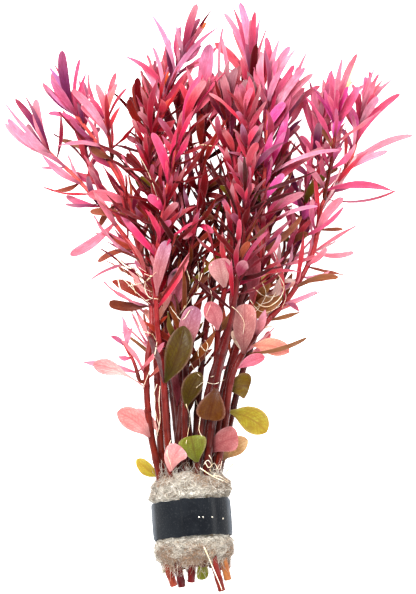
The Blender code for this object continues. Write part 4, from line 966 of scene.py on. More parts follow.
def leaf_tones(leaf, chance):
    """A leaf's colours: at its foot, its middle, its tip and underneath."""
    end = leaf["at"](LOOKED_AT)
    spread = NARROWEST + (1 - NARROWEST) * eased(*SPREADING, end.y)
    aside = abs(end.x - INSIDE_MIDDLE) / spread
    middle = 1 - eased(*INSIDE_REACH, aside)
    top = eased(*INSIDE_TOP, end.y)
    inside = min(middle, 1 - TOP_LIGHTER * top)
    green = leaf["tone"] in GREEN_TONES
    narrow = leaf["outline"] in ("lance", "blade")
    shade = BROAD_SHADE
    # Narrow leaves that are not green get painted light at the bunch's sides, and painted shade
    # inside it and at its top middle
    if narrow and not green:
        shade = LEFT_PAINTED_LIGHT.lerp(RIGHT_PAINTED_LIGHT, eased(*LEFT_TO_RIGHT, end.x))
        shade = shade.lerp(INSIDE_PAINTED_SHADE, inside)
        shade = shade * LOW_SHADE.lerp(PLAIN, eased(*LOW_REACH, end.y))
        shade = shade * PLAIN.lerp(TOP_PAINTED_SHADE, middle * top)
    tone = linear(TONES[leaf["tone"]]) * shade * chance.uniform(*TONE_SPREAD)
    if narrow and leaf["tone"] in BLUSHING:
        tone = Vector([min(pair) for pair in zip(tone, LIGHTEST)])
    if leaf["tone"] in BLUSHING:
        dark = linear(TONES[chance.choice(("plum", "maroon", "crimson"))])
        foot = tone.lerp(dark, chance.uniform(0.35, 0.85) if narrow else 0.15)
        light = linear(TONES[chance.choice(("salmon", "pink", "pale", "pale", "lilac"))])
        tip = tone.lerp(light, chance.uniform(0.3, 0.7))
        under = tone.lerp(linear(TONES["dusty"]), 0.35)
    else:
        foot = tone.lerp(linear(TONES["green" if green else "maroon"]), 0.3) * 0.75
        tip = tone * chance.uniform(0.9, 1.35)
        under = tone.lerp(linear(TONES["yellow" if green else "mauve"]), 0.25)
    return foot, tone, tip, under


# The leaf with a dead patch near its tip, and the patch: its place along and across the leaf, its
# reach, where it fades at its rim as shares of the reach, and its colour
DAMAGED_LEAF = "broad_leaf_02"
PATCH_AT = (0.85, 0.0)
PATCH_REACH = (0.11, 1.05)
PATCH_RIM = (0.6, 1.1)
PATCH_COLOUR = "4A3634"
# A leaf's section, as shares of half its width: where the fold is as high as the middle line,
# where the edges begin to droop, and how far the midrib reaches underneath
CREASE_LEVEL = 0.45
DROOP_FROM = 0.6
MIDRIB_REACH = 0.2
# Shares of its thickness: what the midrib adds, and what it loses towards its edges
MIDRIB_DEPTH = 0.7
THINNER_EDGE = 0.75
# Its waves: radians along it and across half of it, and their height as a share of its length
WAVES_ALONG = 14
WAVES_ACROSS = 2.2
WAVE_HEIGHT = 0.02
# Where along a leaf its tones change
FOOT_TO_MIDDLE = (0.0, 0.42)
MIDDLE_TO_TIP = (0.45, 1.0)


def add_leaf(shape, leaf, settings, chance, thickness, damaged=False):
    """A leaf with a creased, slightly waved blade, darker at its foot and paler underneath."""
    rows = settings.leaf_rows
    columns = settings.leaf_columns
    start = len(shape.vertices)
    foot_tone, tone, tip_tone, under_tone = leaf_tones(leaf, chance)
    outline = smooth_outline(leaf["outline"])
    twist = chance.uniform(-1, 1) * settings.twist
    wave = chance.uniform(0.3, 1.0) * settings.wave
    phase = chance.uniform(0, 6.28)
    at = leaf["at"]
    around = 4 * columns
    length = (at(1.0) - at(0.0)).length
    for row in range(rows + 1):
        share = math.sin(row / rows * math.pi / 2)
        across, up = leaf_frame(at, share, leaf["roll"] + twist * share)
        half = leaf["width"] / 2 * outline_width(outline, share)
        points = []
        marks = []
        tones = []
        along_tone = foot_tone.lerp(tone, eased(*FOOT_TO_MIDDLE, share))
        along_tone = along_tone.lerp(tip_tone, eased(*MIDDLE_TO_TIP, share))
        for i in range(around):
            top = i <= 2 * columns
            u = i / columns - 1 if top else 3 - i / columns
            edge = abs(u)
            rise = half * settings.crease * (edge - CREASE_LEVEL)
            waved = math.sin(share * WAVES_ALONG + phase + WAVES_ACROSS * u)
            rise += wave * length * WAVE_HEIGHT * waved * edge
            rise -= settings.droop * half * max(0.0, edge - DROOP_FROM)
            sink = 0.0 if top else thickness * (1.0 - THINNER_EDGE * edge)
            if not top and edge < MIDRIB_REACH:
                sink += thickness * MIDRIB_DEPTH
            points.append(at(share) + across * (u * half) + up * (rise - sink))
            points[-1].z = max(points[-1].z, FLOOR_GAP)
            marks.append((share, u, 0.0 if top else 1.0))
            shade = along_tone if top else along_tone.lerp(under_tone, 0.7)
            if damaged:
                away = math.hypot(*(
                    (here - middle) / reach
                    for here, middle, reach in zip((share, u), PATCH_AT, PATCH_REACH)
                ))
                shade = linear(PATCH_COLOUR).lerp(shade, eased(*PATCH_RIM, away))
            tones.append(shade)
        shape.ring(points, marks, tones)
    shape.close(start, around, rows + 1)


TUBE_SIDE = Vector((0.31, 0.2, 0.93))  # a tube's first corner lies square to this


def add_tube(shape, line, radii, sides, tone_at, mark_at):
    """A round tube along a line."""
    start = len(shape.vertices)
    across = way_at(line, 0).cross(TUBE_SIDE).normalized()
    for i, point in enumerate(line):
        way = way_at(line, i)
        across = (across - way * across.dot(way)).normalized()
        up = way.cross(across)
        points = []
        for k in range(sides):
            a = 2 * math.pi * k / sides
            points.append(point + (across * math.cos(a) + up * math.sin(a)) * radii[i])
        shape.ring(points, [mark_at(i, k) for k in range(sides)], [tone_at(i)] * sides)
    shape.close(start, sides, len(line))


class Nodes:
    """A small helper for laying out the nodes of a material or a group."""

    def __init__(self, tree):
        self.tree = tree
        self.count = 0

    def fill(self, node, **inputs):
        """Set inputs, or link them where an output is given: by name, or by number after an i."""
        for key, value in inputs.items():
            numbered = key[0] == "i" and key[1:].isdigit()
            name = key.replace("_", " ").title().replace("Ior", "IOR")
            socket = node.inputs[int(key[1:]) if numbered else name]
            if isinstance(value, bpy.types.NodeSocket):
                self.tree.links.new(value, socket)
            else:
                socket.default_value = value
        return node

    def add(self, kind, **inputs):
        """A new node with its inputs filled."""
        node = self.tree.nodes.new(kind)
        self.count += 1
        node.location = (self.count * 180, -(self.count % 4) * 160)
        return self.fill(node, **inputs)

    def math(self, operation, a, b=0.0, clamp=False):
        """The value of a Math node."""
        node = self.add("ShaderNodeMath", i0=a, i1=b)
        node.operation = operation
        node.use_clamp = clamp
        return node.outputs[0]

    def times(self, a, b):
        """A product."""
        return self.math("MULTIPLY", a, b)

    def ramp(self, value, low, high, bottom=0.0, top=1.0):
        """A value stretched from one range to another, smoothly, and kept in it."""
        node = self.add("ShaderNodeMapRange", i0=value, i1=low, i2=high, i3=bottom, i4=top)
        node.interpolation_type = "SMOOTHSTEP"
        return node.outputs[0]

    def mix(self, factor, a, b, how="MIX"):
        """The colour of a Mix node."""
        node = self.add("ShaderNodeMix")
        node.data_type = "RGBA"
        node.blend_type = how
        a, b = (c if isinstance(c, bpy.types.NodeSocket) else (*c, 1.0) for c in (a, b))
        return self.fill(node, i0=factor, i6=a, i7=b).outputs[2]

    def shaded(self, colour, shade):
        """A colour multiplied by another."""
        return self.mix(1.0, colour, shade, "MULTIPLY")

    def tint(self, colour, mask, share, other):
        """A colour mixed into another by a share of a mask."""
        return self.mix(self.times(mask, share), colour, other)

    def noise(self, where, scale, detail=2.0):
        """The value of a Noise Texture."""
        node = self.add("ShaderNodeTexNoise", vector=where, scale=scale, detail=detail)
        return node.outputs[0]

    def where(self):
        """The place on the object."""
        return self.add("ShaderNodeTexCoord").outputs["Object"]

    def attribute(self, name, output):
        """What a shape holds at each vertex: its tone or its marks."""
        node = self.add("ShaderNodeAttribute")
        node.attribute_name = name
        return node.outputs[output]

    def marks(self):
        """The three marks of a shape, each by itself."""
        return self.add("ShaderNodeSeparateXYZ", i0=self.attribute("marks", "Vector")).outputs

    def bump(self, height, distance, strength=1.0):
        """A normal from a height over the surface."""
        node = self.add("ShaderNodeBump", height=height, distance=distance, strength=strength)
        return node.outputs[0]


def new_group(name, inputs, outputs):
    """A shader node group's nodes. Its inputs have a default, and None stands for a vector."""
    group = bpy.data.node_groups.new(name, "ShaderNodeTree")
    for label, default in inputs.items():
        kind = "NodeSocketVector" if default is None else "NodeSocketFloat"
        socket = group.interface.new_socket(name=label, in_out="INPUT", socket_type=kind)
        if default is not None:
            socket.default_value = default
    for label in outputs:
        group.interface.new_socket(name=label, in_out="OUTPUT", socket_type="NodeSocketFloat")
    nodes = Nodes(group)
    return nodes, nodes.add("NodeGroupInput").outputs, nodes.add("NodeGroupOutput")


def leaf_veins_group():
    """Midrib and side veins of a leaf, from its marks: way along, way across and side."""
    nodes, given, result = new_group(
        "leaf veins", {"Marks": None, "Pairs": 9.0, "Slant": 0.22, "Midrib Width": 0.12},
        ("Midrib", "Side Veins", "Streaks", "Rim", "Net", "Height"),
    )
    along, across, _ = nodes.add("ShaderNodeSeparateXYZ", i0=given["Marks"]).outputs
    edge = nodes.math("ABSOLUTE", across)
    midrib = nodes.ramp(edge, given["Midrib Width"], 0.0)
    slanted = nodes.math("SUBTRACT", along, nodes.times(edge, given["Slant"]))
    run = nodes.math("FRACT", nodes.times(slanted, given["Pairs"]))
    ripple = nodes.math("ABSOLUTE", nodes.math("SUBTRACT", run, 0.5))
    veins = nodes.times(nodes.ramp(ripple, 0.14, 0.0), nodes.ramp(edge, 1.0, 0.65))
    where = nodes.where()
    lanes = nodes.add(
        "ShaderNodeCombineXYZ", i0=nodes.times(along, 1.6), i1=nodes.times(across, 5.0),
        i2=nodes.times(nodes.noise(where, 90.0), 9.0),
    )
    streaks = nodes.ramp(nodes.noise(lanes.outputs[0], 1.7, 3.0), 0.34, 0.68)
    cells = nodes.add("ShaderNodeTexVoronoi", vector=where, scale=1100.0)
    cells.feature = "DISTANCE_TO_EDGE"
    height = nodes.math("ADD", midrib, nodes.times(veins, 0.4))
    nodes.fill(
        result, midrib=midrib, side_veins=veins, streaks=streaks, rim=nodes.ramp(edge, 0.74, 1.0),
        net=nodes.ramp(cells.outputs["Distance"], 0.16, 0.0),
        height=nodes.math("ADD", height, nodes.times(streaks, 0.5)),
    )


def mottle_group():
    """Soft blotches and fine speckle over a surface."""
    nodes, given, result = new_group(
        "mottle", {"Blotch Scale": 300.0, "Speckle Scale": 2500.0}, ("Blotches", "Speckle")
    )
    where = nodes.where()
    blotches = nodes.noise(where, given["Blotch Scale"], 4.0)
    speckle = nodes.noise(where, given["Speckle Scale"], 2.0)
    nodes.fill(
        result, blotches=nodes.ramp(blotches, 0.38, 0.66), speckle=nodes.ramp(speckle, 0.3, 0.7)
    )


def new_material(name, roughness):
    """A material with its nodes, and its Principled BSDF."""
    material = bpy.data.materials.new(name)
    material.use_nodes = True
    shader = material.node_tree.nodes["Principled BSDF"]
    shader.inputs["Roughness"].default_value = roughness
    shader.location = (2600, 0)
    material.node_tree.nodes["Material Output"].location = (3000, 0)
    return material, Nodes(material.node_tree), shader


SHARED_GROUPS = {"leaf veins": leaf_veins_group, "mottle": mottle_group}


def grouped(nodes, name, **inputs):
    """The outputs of one of the shared groups, which is made when it is first needed."""
    if name not in bpy.data.node_groups:
        SHARED_GROUPS[name]()
    node = nodes.add("ShaderNodeGroup")
    node.node_tree = bpy.data.node_groups[name]
    return nodes.fill(node, **inputs).outputs


# What a leaf's own tone is multiplied by in its veins and blotches, what it is mixed with at its
# rim, and what it is multiplied by in the light that comes through it
LEAF_DEEP = (0.5, 0.26, 0.3)
LEAF_RIM = (1.0, 0.5, 0.52)
GLOW_SHADE = (0.8, 0.6, 0.63)
# How much of each mask shows on a leaf
STREAKS_SHOW = 0.72
BLOTCHES_SHOW = 0.35
RIM_SHOWS = 0.5
SPECKLE_SHOWS = 0.22
# How deep the relief of each surface is
LEAF_RELIEF = 0.07 * MM
STEM_RELIEF = 0.12 * MM
WOOL_RELIEF = 0.5 * MM
STRIP_RELIEF = 0.05 * MM
STEM_DEEP = (0.42, 0.22, 0.24)
ROOT_BROWN = (0.8, 0.56, 0.32)
# What clean wool is multiplied by deep between its tufts, a painted shade, and where it is dull
WOOL_CREVICE_SHADE = (0.34, 0.26, 0.17)
WOOL_DULL = (0.6, 0.56, 0.49)
DUST = (0.4, 0.42, 0.42)


def leaf_material(name, settings, pairs, vein_strength, net_strength, roughness):
    """Thin living leaf: its own tone, veins, streaks, blotches, and light that comes through it."""
    material, nodes, shader = new_material(name, roughness)
    tone = nodes.attribute("tone", "Color")
    veins = grouped(nodes, "leaf veins", marks=nodes.attribute("marks", "Vector"), pairs=pairs)
    mottle = grouped(nodes, "mottle", blotch_scale=330.0, speckle_scale=3000.0)
    deep = nodes.shaded(tone, LEAF_DEEP)
    colour = nodes.tint(tone, veins["Streaks"], STREAKS_SHOW, deep)
    colour = nodes.tint(colour, mottle["Blotches"], BLOTCHES_SHOW, deep)
    colour = nodes.tint(colour, veins["Rim"], RIM_SHOWS, nodes.mix(0.3, tone, LEAF_RIM))
    all_veins = nodes.math("ADD", veins["Midrib"], veins["Side Veins"], True)
    colour = nodes.tint(colour, all_veins, vein_strength, deep)
    colour = nodes.tint(colour, veins["Net"], net_strength, deep)
    colour = nodes.tint(colour, mottle["Speckle"], SPECKLE_SHOWS, deep)
    rough = nodes.ramp(mottle["Blotches"], 0.0, 1.0, roughness - 0.1, roughness + 0.12)
    height = nodes.math("ADD", veins["Height"], nodes.times(mottle["Speckle"], 0.25))
    nodes.fill(
        shader, base_color=colour, roughness=rough, specular_ior_level=0.2,
        normal=nodes.bump(height, LEAF_RELIEF, 0.6),
    )
    through = nodes.add("ShaderNodeBsdfTranslucent", color=nodes.shaded(tone, GLOW_SHADE))
    both = nodes.add(
        "ShaderNodeMixShader", i0=settings.see_through, i1=shader.outputs[0],
        i2=through.outputs[0],
    )
    nodes.fill(material.node_tree.nodes["Material Output"], surface=both.outputs[0])
    return material


def stem_material():
    """Juicy stem: streaked along its length, darker at its joints, pale pith where it is cut."""
    material, nodes, shader = new_material("stem", 0.34)
    tone = nodes.attribute("tone", "Color")
    along, around, joint = nodes.marks()
    place_on = nodes.add(
        "ShaderNodeCombineXYZ", i0=nodes.times(along, 0.4), i1=nodes.times(around, 5.0)
    )
    streaks = nodes.noise(place_on.outputs[0], 3.0, 3.0)
    mottle = grouped(nodes, "mottle", blotch_scale=260.0, speckle_scale=2200.0)
    dark = nodes.shaded(tone, STEM_DEEP)
    colour = nodes.mix(nodes.ramp(streaks, 0.42, 0.68), tone, dark)
    colour = nodes.tint(colour, mottle["Blotches"], 0.4, dark)
    colour = nodes.tint(colour, joint, 0.75, dark)
    height = nodes.math("ADD", streaks, nodes.times(joint, 0.8))
    nodes.fill(
        shader, base_color=colour, roughness=nodes.ramp(mottle["Blotches"], 0.0, 1.0, 0.27, 0.5),
        normal=nodes.bump(height, STEM_RELIEF), specular_ior_level=0.14, subsurface_weight=0.1,
        subsurface_radius=(0.0012, 0.0004, 0.0003), subsurface_scale=1.0,
    )
    return material


def root_material(settings):
    """Fine pale root, browner in places."""
    material, nodes, shader = new_material("root", 0.5)
    mottle = grouped(nodes, "mottle", blotch_scale=180.0, speckle_scale=2400.0)
    colour = nodes.mix(mottle["Blotches"], tuple(settings.root_colour), ROOT_BROWN)
    nodes.fill(shader, base_color=colour)
    return material


def wool_material(settings, name, shade):
    """Matted wool: grey-white, stained brown near the stems, with shadow between its tufts."""
    material, nodes, shader = new_material(name, 0.95)
    stained, height_on, _ = nodes.marks()
    mottle = grouped(nodes, "mottle", blotch_scale=170.0, speckle_scale=1500.0)
    base = tuple(c * shade for c in settings.wool_colour)
    crevice_shade = tuple(c * dark for c, dark in zip(base, WOOL_CREVICE_SHADE))
    # Painted shade: the lower a place is on its tufts, the darker the wool
    colour = nodes.mix(nodes.ramp(height_on, -0.55, 0.12), crevice_shade, base)
    colour = nodes.mix(mottle["Speckle"], nodes.shaded(colour, WOOL_DULL), colour)
    blotched = nodes.ramp(mottle["Blotches"], 0.0, 0.65, 0.2, 1.0)
    colour = nodes.mix(nodes.times(blotched, stained), colour, tuple(settings.stain_colour))
    height = nodes.math("ADD", mottle["Speckle"], mottle["Blotches"])
    nodes.fill(
        shader, base_color=nodes.shaded(colour, nodes.attribute("tone", "Color")),
        normal=nodes.bump(height, WOOL_RELIEF), sheen_weight=0.3, specular_ior_level=0.2,
    )
    return material


def strip_material(settings):
    """Dull rubbery strip, paler along its edges, with a painted sheen at its sides, and a little
    dust.
    """
    material, nodes, shader = new_material("strip", 0.55)
    first_turn, edge, side_sheen = nodes.marks()
    mottle = grouped(nodes, "mottle", blotch_scale=150.0, speckle_scale=1700.0)
    lighter = tuple(settings.strip_edge_colour)
    rubbed = nodes.times(nodes.ramp(edge, 0.9, 1.0), mottle["Speckle"])
    colour = nodes.tint(tuple(settings.strip_colour), first_turn, 0.4, lighter)
    colour = nodes.tint(colour, mottle["Blotches"], 0.45, lighter)
    colour = nodes.tint(colour, rubbed, 0.6, lighter)
    # Painted sheen: the strip's sides, where it turns away, are much paler
    colour = nodes.tint(colour, side_sheen, 0.8, tuple(6 * c for c in lighter))
    colour = nodes.tint(colour, nodes.ramp(mottle["Speckle"], 0.8, 1.0), 0.025, DUST)
    nodes.fill(
        shader, base_color=colour, roughness=nodes.ramp(mottle["Blotches"], 0.0, 1.0, 0.42, 0.66),
        normal=nodes.bump(mottle["Speckle"], STRIP_RELIEF), specular_ior_level=0.03,
        sheen_weight=0.05,
    )
    return material


LAYOUT = {}


def laid_out(context):
    """Where the leaves are, and everything that is in place, worked out once."""
    if not LAYOUT:
        LAYOUT.update(zip(("broad", "narrow", "placed"), lay_out(context.scene.rotala_leaves)))
    return LAYOUT


def fine_stem(name, step):
    """A smooth line through the solid's own, straight where it goes through the wool."""
    if name in SHOOTS:
        coarse = shoot_line(name)
        parent = resample(stem_line(SHOOTS[name][0]), LOOK_STEP)
        joint = min(parent, key=lambda point: (point - coarse[0]).length)
        return resample([joint, *smooth(coarse)], step)
    coarse = stem_line(name)
    start = resample(coarse[:2], step) + resample(coarse[1:3], step)[1:]
    return start + resample(smooth(coarse[2:]), step)[1:]


# The tones of the stems inside and outside: at the foot, after one and two low parts, and on top
LOW_PART = 0.35  # of the stem's length
# The inner stems' tones are darker, as painted shade
INNER_SHADED_TONES = ("54200E", "561610", "74161C", "B4344A")
OUTER_TONES = ("5A220E", "661C14", "9A262C", "DC5C56")
PITH = "C08A5A"
FOOT_TO_STEM = (0.09, 0.15)  # of the stem's length, where the foot's own colour ends


def add_stem(shape, name, settings, chance):
    """One stem: swollen at its joints, browner low down, with pale pith where it was cut."""
    line = fine_stem(name, settings.stem_step)
    total = lengths(line)
    joints = []
    at = chance.uniform(2, 6) * MM
    while at < total[-1]:
        joints.append(at)
        at += settings.joint_spacing * chance.uniform(0.75, 1.25)
    outer = name in OUTER_STEMS
    low, middle, high, top = (linear(code) for code in (OUTER_TONES if outer else INNER_SHADED_TONES))
    # Stems between the others may be painted darker still, as shade
    shade = chance.uniform(0.9, 1.1) if outer else chance.uniform(0.6, 1.05)
    radii = []
    tones = []
    marks = []
    for i in range(len(line)):
        share = i / (len(line) - 1)
        near = min(abs(total[i] - joint) for joint in joints)
        bump = math.exp(-((near / settings.joint_length) ** 2))
        radii.append(stem_radius(name, share) * (1 + settings.joint_swell * bump))
        if share < LOW_PART:
            tone = low.lerp(middle, share / LOW_PART)
        elif share < 2 * LOW_PART:
            tone = middle.lerp(high, (share - LOW_PART) / LOW_PART)
        else:
            tone = high.lerp(top, (share - 2 * LOW_PART) / (1 - 2 * LOW_PART))
        if name in FEET:
            tone = linear(FEET[name]).lerp(tone, eased(*FOOT_TO_STEM, share))
        tones.append(tone * shade)
        marks.append((total[i] / (10 * MM), bump))
    if name in ROUTES:
        end = line[0]
        inward = (line[1] - end).normalized()
        pith = linear(PITH)
        line = [end, end + inward * 0.05 * MM, end + inward * 0.25 * MM, *line[1:]]
        radii = [radii[0] * 0.55, radii[0] * 0.93, radii[0] * 1.03, *radii[1:]]
        tones = [pith * 1.15, pith * 0.8, tones[0], *tones[1:]]
        marks = [(0.0, 0.0), (0.0, 0.2), marks[0], *marks[1:]]
    radii[-1] *= 0.5
    sides = settings.stem_sides
    add_tube(
        shape, line, radii, sides, lambda i: tones[i],
        lambda i, k: (marks[i][0], abs(2 * k / sides - 1), marks[i][1]),
    )


TUFTS_PER_METRE = 560
# How near to the middle of the strip a fibre of the wool may lie
FIBRE_CLEAR = STRIP_WIDTH / 2 + 0.4 * MM
FIBRE_STEPS = 6
UPPER_SHARE = 0.53  # of the fibres, on the side towards the tips
# Where the wool begins to swell out from under the strip, and over what length
FREE_FROM = 6.9 * MM
FREE_OVER = 1.6 * MM
# The wool's domed ends: their sections, and their width in their middle as a share
DOME_ROWS = 6
DOME_MIDDLE = 0.12
DOME_SWELL = 0.86
DOME_LUMPS_PER_METRE = 420


def from_plug(point):
    """From the plug's own straight axes to its place in the part: leaning, and turned."""
    return Matrix.Rotation(BUNDLE_TURN, 3, "Z") @ Vector(leaning(*point))


def wool_tuft(angle, way):
    """How far a place on the wool is up on a tuft, from about -1 to 1."""
    where = Vector((math.cos(angle) * 7.5, math.sin(angle) * 7.5, way * TUFTS_PER_METRE))
    return noise.noise(where) + 0.6 * noise.noise(where * 2.7)


def wool_point(angle, way, settings):
    """A point of the wool's surface, with its tufts."""
    swell = swell_at(way)
    where = Vector((math.cos(angle), math.sin(angle), way * LUMPS_PER_METRE))
    lump = noise.noise(where) * settings.lump
    free = clamped((abs(way) - FREE_FROM) / FREE_OVER)
    outset = swell + (lump + wool_tuft(angle, way) * settings.tuft) * free
    x, z = ellipse_point(angle, outset, FLOOR_GAP if free > 0.5 else STRIP_THICKNESS + GAP)
    return Vector((x, way, z))


def wool_stain(way):
    """How brown the wool may be here: most where stems go in and out."""
    if way > 0:
        return 1.2 * clamped((way - 8.5 * MM) / (5 * MM))
    return 1.6 * clamped((-way - 8 * MM) / (4 * MM))


def build_wool(settings):
    """The lump of wool, closed and domed at its ends."""
    around = settings.around
    rows = settings.along
    shape = Shape()
    turns = [k / DOME_ROWS * math.pi / 2 for k in range(DOME_ROWS)]
    stations = [(-PLUG_BELOW - settings.dome * math.cos(turn), turn) for turn in turns]
    for row in range(rows + 1):
        stations.append((-PLUG_BELOW + (PLUG_ABOVE + PLUG_BELOW) * row / rows, None))
    stations += [(PLUG_ABOVE + settings.dome * math.cos(turn), turn) for turn in turns[::-1]]
    for way, turn in stations:
        on = clamped(way, -PLUG_BELOW, PLUG_ABOVE)
        shrink = 1.0 if turn is None else DOME_MIDDLE + DOME_SWELL * math.sin(turn)
        centre = Vector((0, on, PLUG_MIDDLE_HEIGHT))
        points = []
        marks = []
        for i in range(around):
            angle = 2 * math.pi * i / around
            point = centre + (wool_point(angle, on, settings) - centre) * shrink
            lump = noise.noise(point * DOME_LUMPS_PER_METRE)
            point.y = way + lump * settings.tuft * (1 - shrink) * 2
            points.append(from_plug(point))
            marks.append((wool_stain(way), wool_tuft(angle, on), 0.0))
        shape.ring(points, marks, [PLAIN] * around)
    shape.close(0, around, len(stations))
    return shape


# Bright flecks of short fibres on the strip, as they are seen
FLECKS = ((199, 517), (203, 517), (212, 517), (223, 518.5))
FLECK_FIBRES = 4
FLECK_RADIUS = 0.09 * MM
FLECK_TONE = PLAIN * 1.3


def add_fleck(shape, tree, x, y, chance):
    """A few short crossed fibres lying on the strip."""
    eye = place(*VIEW_MIDDLE, VIEW_HEIGHT / MM)
    seen = tree.ray_cast(eye, (place(x, y, 0) - eye).normalized())[0] + Vector((0, 0, 0.07 * MM))
    for k in range(FLECK_FIBRES):
        turn = math.pi * k / FLECK_FIBRES + chance.uniform(-0.3, 0.3)
        reach = Vector((math.cos(turn), math.sin(turn), 0)) * chance.uniform(0.2, 0.36) * MM
        add_tube(
            shape, [seen - reach, seen, seen + reach], [FLECK_RADIUS] * 3, 5,
            lambda i: FLECK_TONE, lambda i, k: (0.0, 1.0, 0.0),
        )


def build_fibres(settings, chance):
    """Fibres matted over the wool, and a few that stand away from it."""
    shape = Shape()
    for _ in range(settings.fibres):
        upper = chance.random() < UPPER_SHARE
        way = chance.uniform(FIBRE_CLEAR, PLUG_ABOVE) * (1 if upper else -1)
        angle = chance.uniform(0, 2 * math.pi)
        heading = chance.uniform(0, 2 * math.pi)
        length = settings.fibre_length * chance.uniform(0.5, 1.4)
        stray = chance.random() < settings.stray_share
        rise = chance.uniform(0.6, 2.6) * MM if stray else chance.uniform(0.0, 0.5) * MM
        curl = chance.uniform(-1.6, 1.6)
        line = []
        for step in range(FIBRE_STEPS + 1):
            share = step / FIBRE_STEPS
            lift = rise * (share if stray else math.sin(math.pi * share))
            out = Vector((math.cos(angle), 0.0, math.sin(angle)))
            point = wool_point(angle, clamped(way, -PLUG_BELOW, PLUG_ABOVE), settings) + out * lift
            if abs(way) > PLUG_ABOVE:
                point.y = way
            point.z = max(FLOOR_GAP, point.z)
            line.append(from_plug(point))
            heading += curl / FIBRE_STEPS
            way += math.sin(heading) * length / FIBRE_STEPS
            angle += math.cos(heading) * length / FIBRE_STEPS / PLUG_HALF_WIDTH
            if abs(way) < FIBRE_CLEAR:
                way = math.copysign(FIBRE_CLEAR, way)
        radius = settings.fibre_radius * chance.uniform(0.6, 1.3)
        where = Vector((math.cos(angle) * 2.4, math.sin(angle) * 2.4, way * 180))
        patch = clamped(0.7 + 1.6 * noise.noise(where))
        stain = wool_stain(way) * patch * chance.uniform(0.3, 1.2)
        height = wool_tuft(angle, way) + chance.uniform(-0.2, 0.3)
        tone = PLAIN * chance.uniform(0.6, 1.15)
        add_tube(
            shape, line, [radius] * len(line), 3, lambda i, tone=tone: tone,
            lambda i, k, stain=stain, height=height: (stain, height, 0.0),
        )
    return shape


STRIP_END = 0.35  # the thickness left at the strip's two ends
STRIP_SIDE_SHEEN = (0.86, 1.0)  # where a painted sheen lightens its sides, as the cosine of the angle round


def build_strip(settings):
    """The strip: wound once round, its edges rounded, its end lapped over its beginning."""
    shape = Shape()
    half = STRIP_WIDTH / 2
    rows = settings.strip_rows
    across = settings.strip_columns
    for row in range(rows + 1):
        share = row / rows
        turned = (2 * math.pi + STRIP_LAP) * share
        climb = eased(0.0, 1.0, (turned - 2 * math.pi + STRIP_CLIMB) / STRIP_CLIMB)
        outset = GAP + climb * (STRIP_THICKNESS + STRIP_SLACK)
        angle = STRIP_LAP_START + turned
        end = min(1.0, min(share, 1 - share) * rows / 2)
        thickness = STRIP_THICKNESS * (STRIP_END + (1 - STRIP_END) * end)
        # A painted sheen on the strip's sides, where it turns away round the wool
        side_sheen = eased(*STRIP_SIDE_SHEEN, abs(math.cos(angle)))
        points = []
        marks = []
        for i in range(2 * across + 2):
            outer = i <= across
            v = 2 * i / across - 1 if outer else 1 - 2 * (i - across - 1) / across
            thin = 1 - abs(v) ** 20
            crown = settings.strip_crown * (1 - v * v)
            ripple = noise.noise(Vector((math.cos(angle), math.sin(angle), share * 4 + v))) * 0.2
            if outer:
                out = outset + thickness * (0.8 + 0.2 * thin) + (crown - 0.1 * MM) * end
            else:
                out = outset + STRIP_THICKNESS * 0.2 * (1 - thin)
            x, z = ellipse_point(angle, out, STRIP_THICKNESS - (out - outset) + FLOOR_GAP)
            edge = noise.noise(Vector((share * 30, math.copysign(3, v), 1))) * settings.strip_fray
            y = half * v * (0.985 + 0.015 * thin) + edge * abs(v) ** 6 + ripple * MM * 0.3
            points.append(from_plug((x, y, z)))
            marks.append((1.0 if share < 0.5 and climb == 0 else 0.0, abs(v), side_sheen))
        shape.ring(points, marks, [PLAIN] * len(points))
    shape.close(0, 2 * across + 2, rows + 1)
    return shape


# Roots laid over the bunch as they are seen: a width in mm, and x and y of the points
ROOTS = rows_of("""
0.34 117 258 126 266 138 271 150 276, 0.42 151 276 146 282 145 289 149 297 158 299,
0.3 112 262 122 272 131 283 140 300 152 299, 0.34 118 280 121 290 128 296 140 300,
0.22 122 266 128 268 136 266 146 272, 0.24 126 318 132 312 142 330 152 334 157 342,
0.26 157 342 154 358 150 370 146 380 142 390, 0.26 256 302 262 306 270 306 280 298 284 286 276 271,
0.24 190 147 197 145 206 145 214 146 223 145, 0.22 140 157 146 168 152 182 158 200,
0.22 198 262 199 276 197 292 192 310, 0.22 205 262 200 280 190 300 180 314,
0.2 190 310 182 320 174 312 170 306, 0.2 152 385 155 400 154 418 158 436,
0.2 157 384 153 398 156 414 160 430, 0.2 160 386 159 402 160 420 156 440,
0.24 205 462 209 468 214 463 219 470 222 461, 0.22 203 466 208 460 215 470 220 464,
0.24 209 455 212 462 210 471 217 474, 0.34 200 468 206 472 214 477 228 483,
0.26 213 476 219 476 224 479 229 482, 0.36 225 474 233 464 243 456 251 448,
0.42 204 547 208 556 213 568 219 582 222 590, 0.24 152 580 156 576 161 572 166 567,
0.22 200 344 204 350 209 353 213 362, 0.22 202 342 198 352 200 364 196 372,
0.2 205 340 208 346 205 356 207 366, 0.2 113 345 120 350 126 356 131 356,
0.22 171 440 167 452 170 462 172 470, 0.2 224 380 214 384 204 382 196 388,
0.2 190 362 196 372 204 378 214 376, 0.2 230 305 238 312 244 322 243 334,
0.22 276 292 270 301 262 304 254 309, 0.3 196 400 200 416 199 430 203 438,
0.2 118 262 128 275 140 286 152 292, 0.2 112 272 124 280 136 292 150 304,
0.18 124 258 134 270 146 284 154 300, 0.18 128 286 138 284 148 280 156 272,
0.2 250 300 258 310 268 312 280 306, 0.2 254 288 264 296 276 296 288 288,
0.18 262 282 266 294 260 306 252 316, 0.18 272 276 280 284 286 296 282 308,
0.18 186 268 190 282 188 298 182 312, 0.18 212 262 208 280 212 298 206 316,
0.24 186 404 190 418 188 432 186 444
""")
ROOT_LOOK = 3.0  # pixels between the places where the height below a root is measured
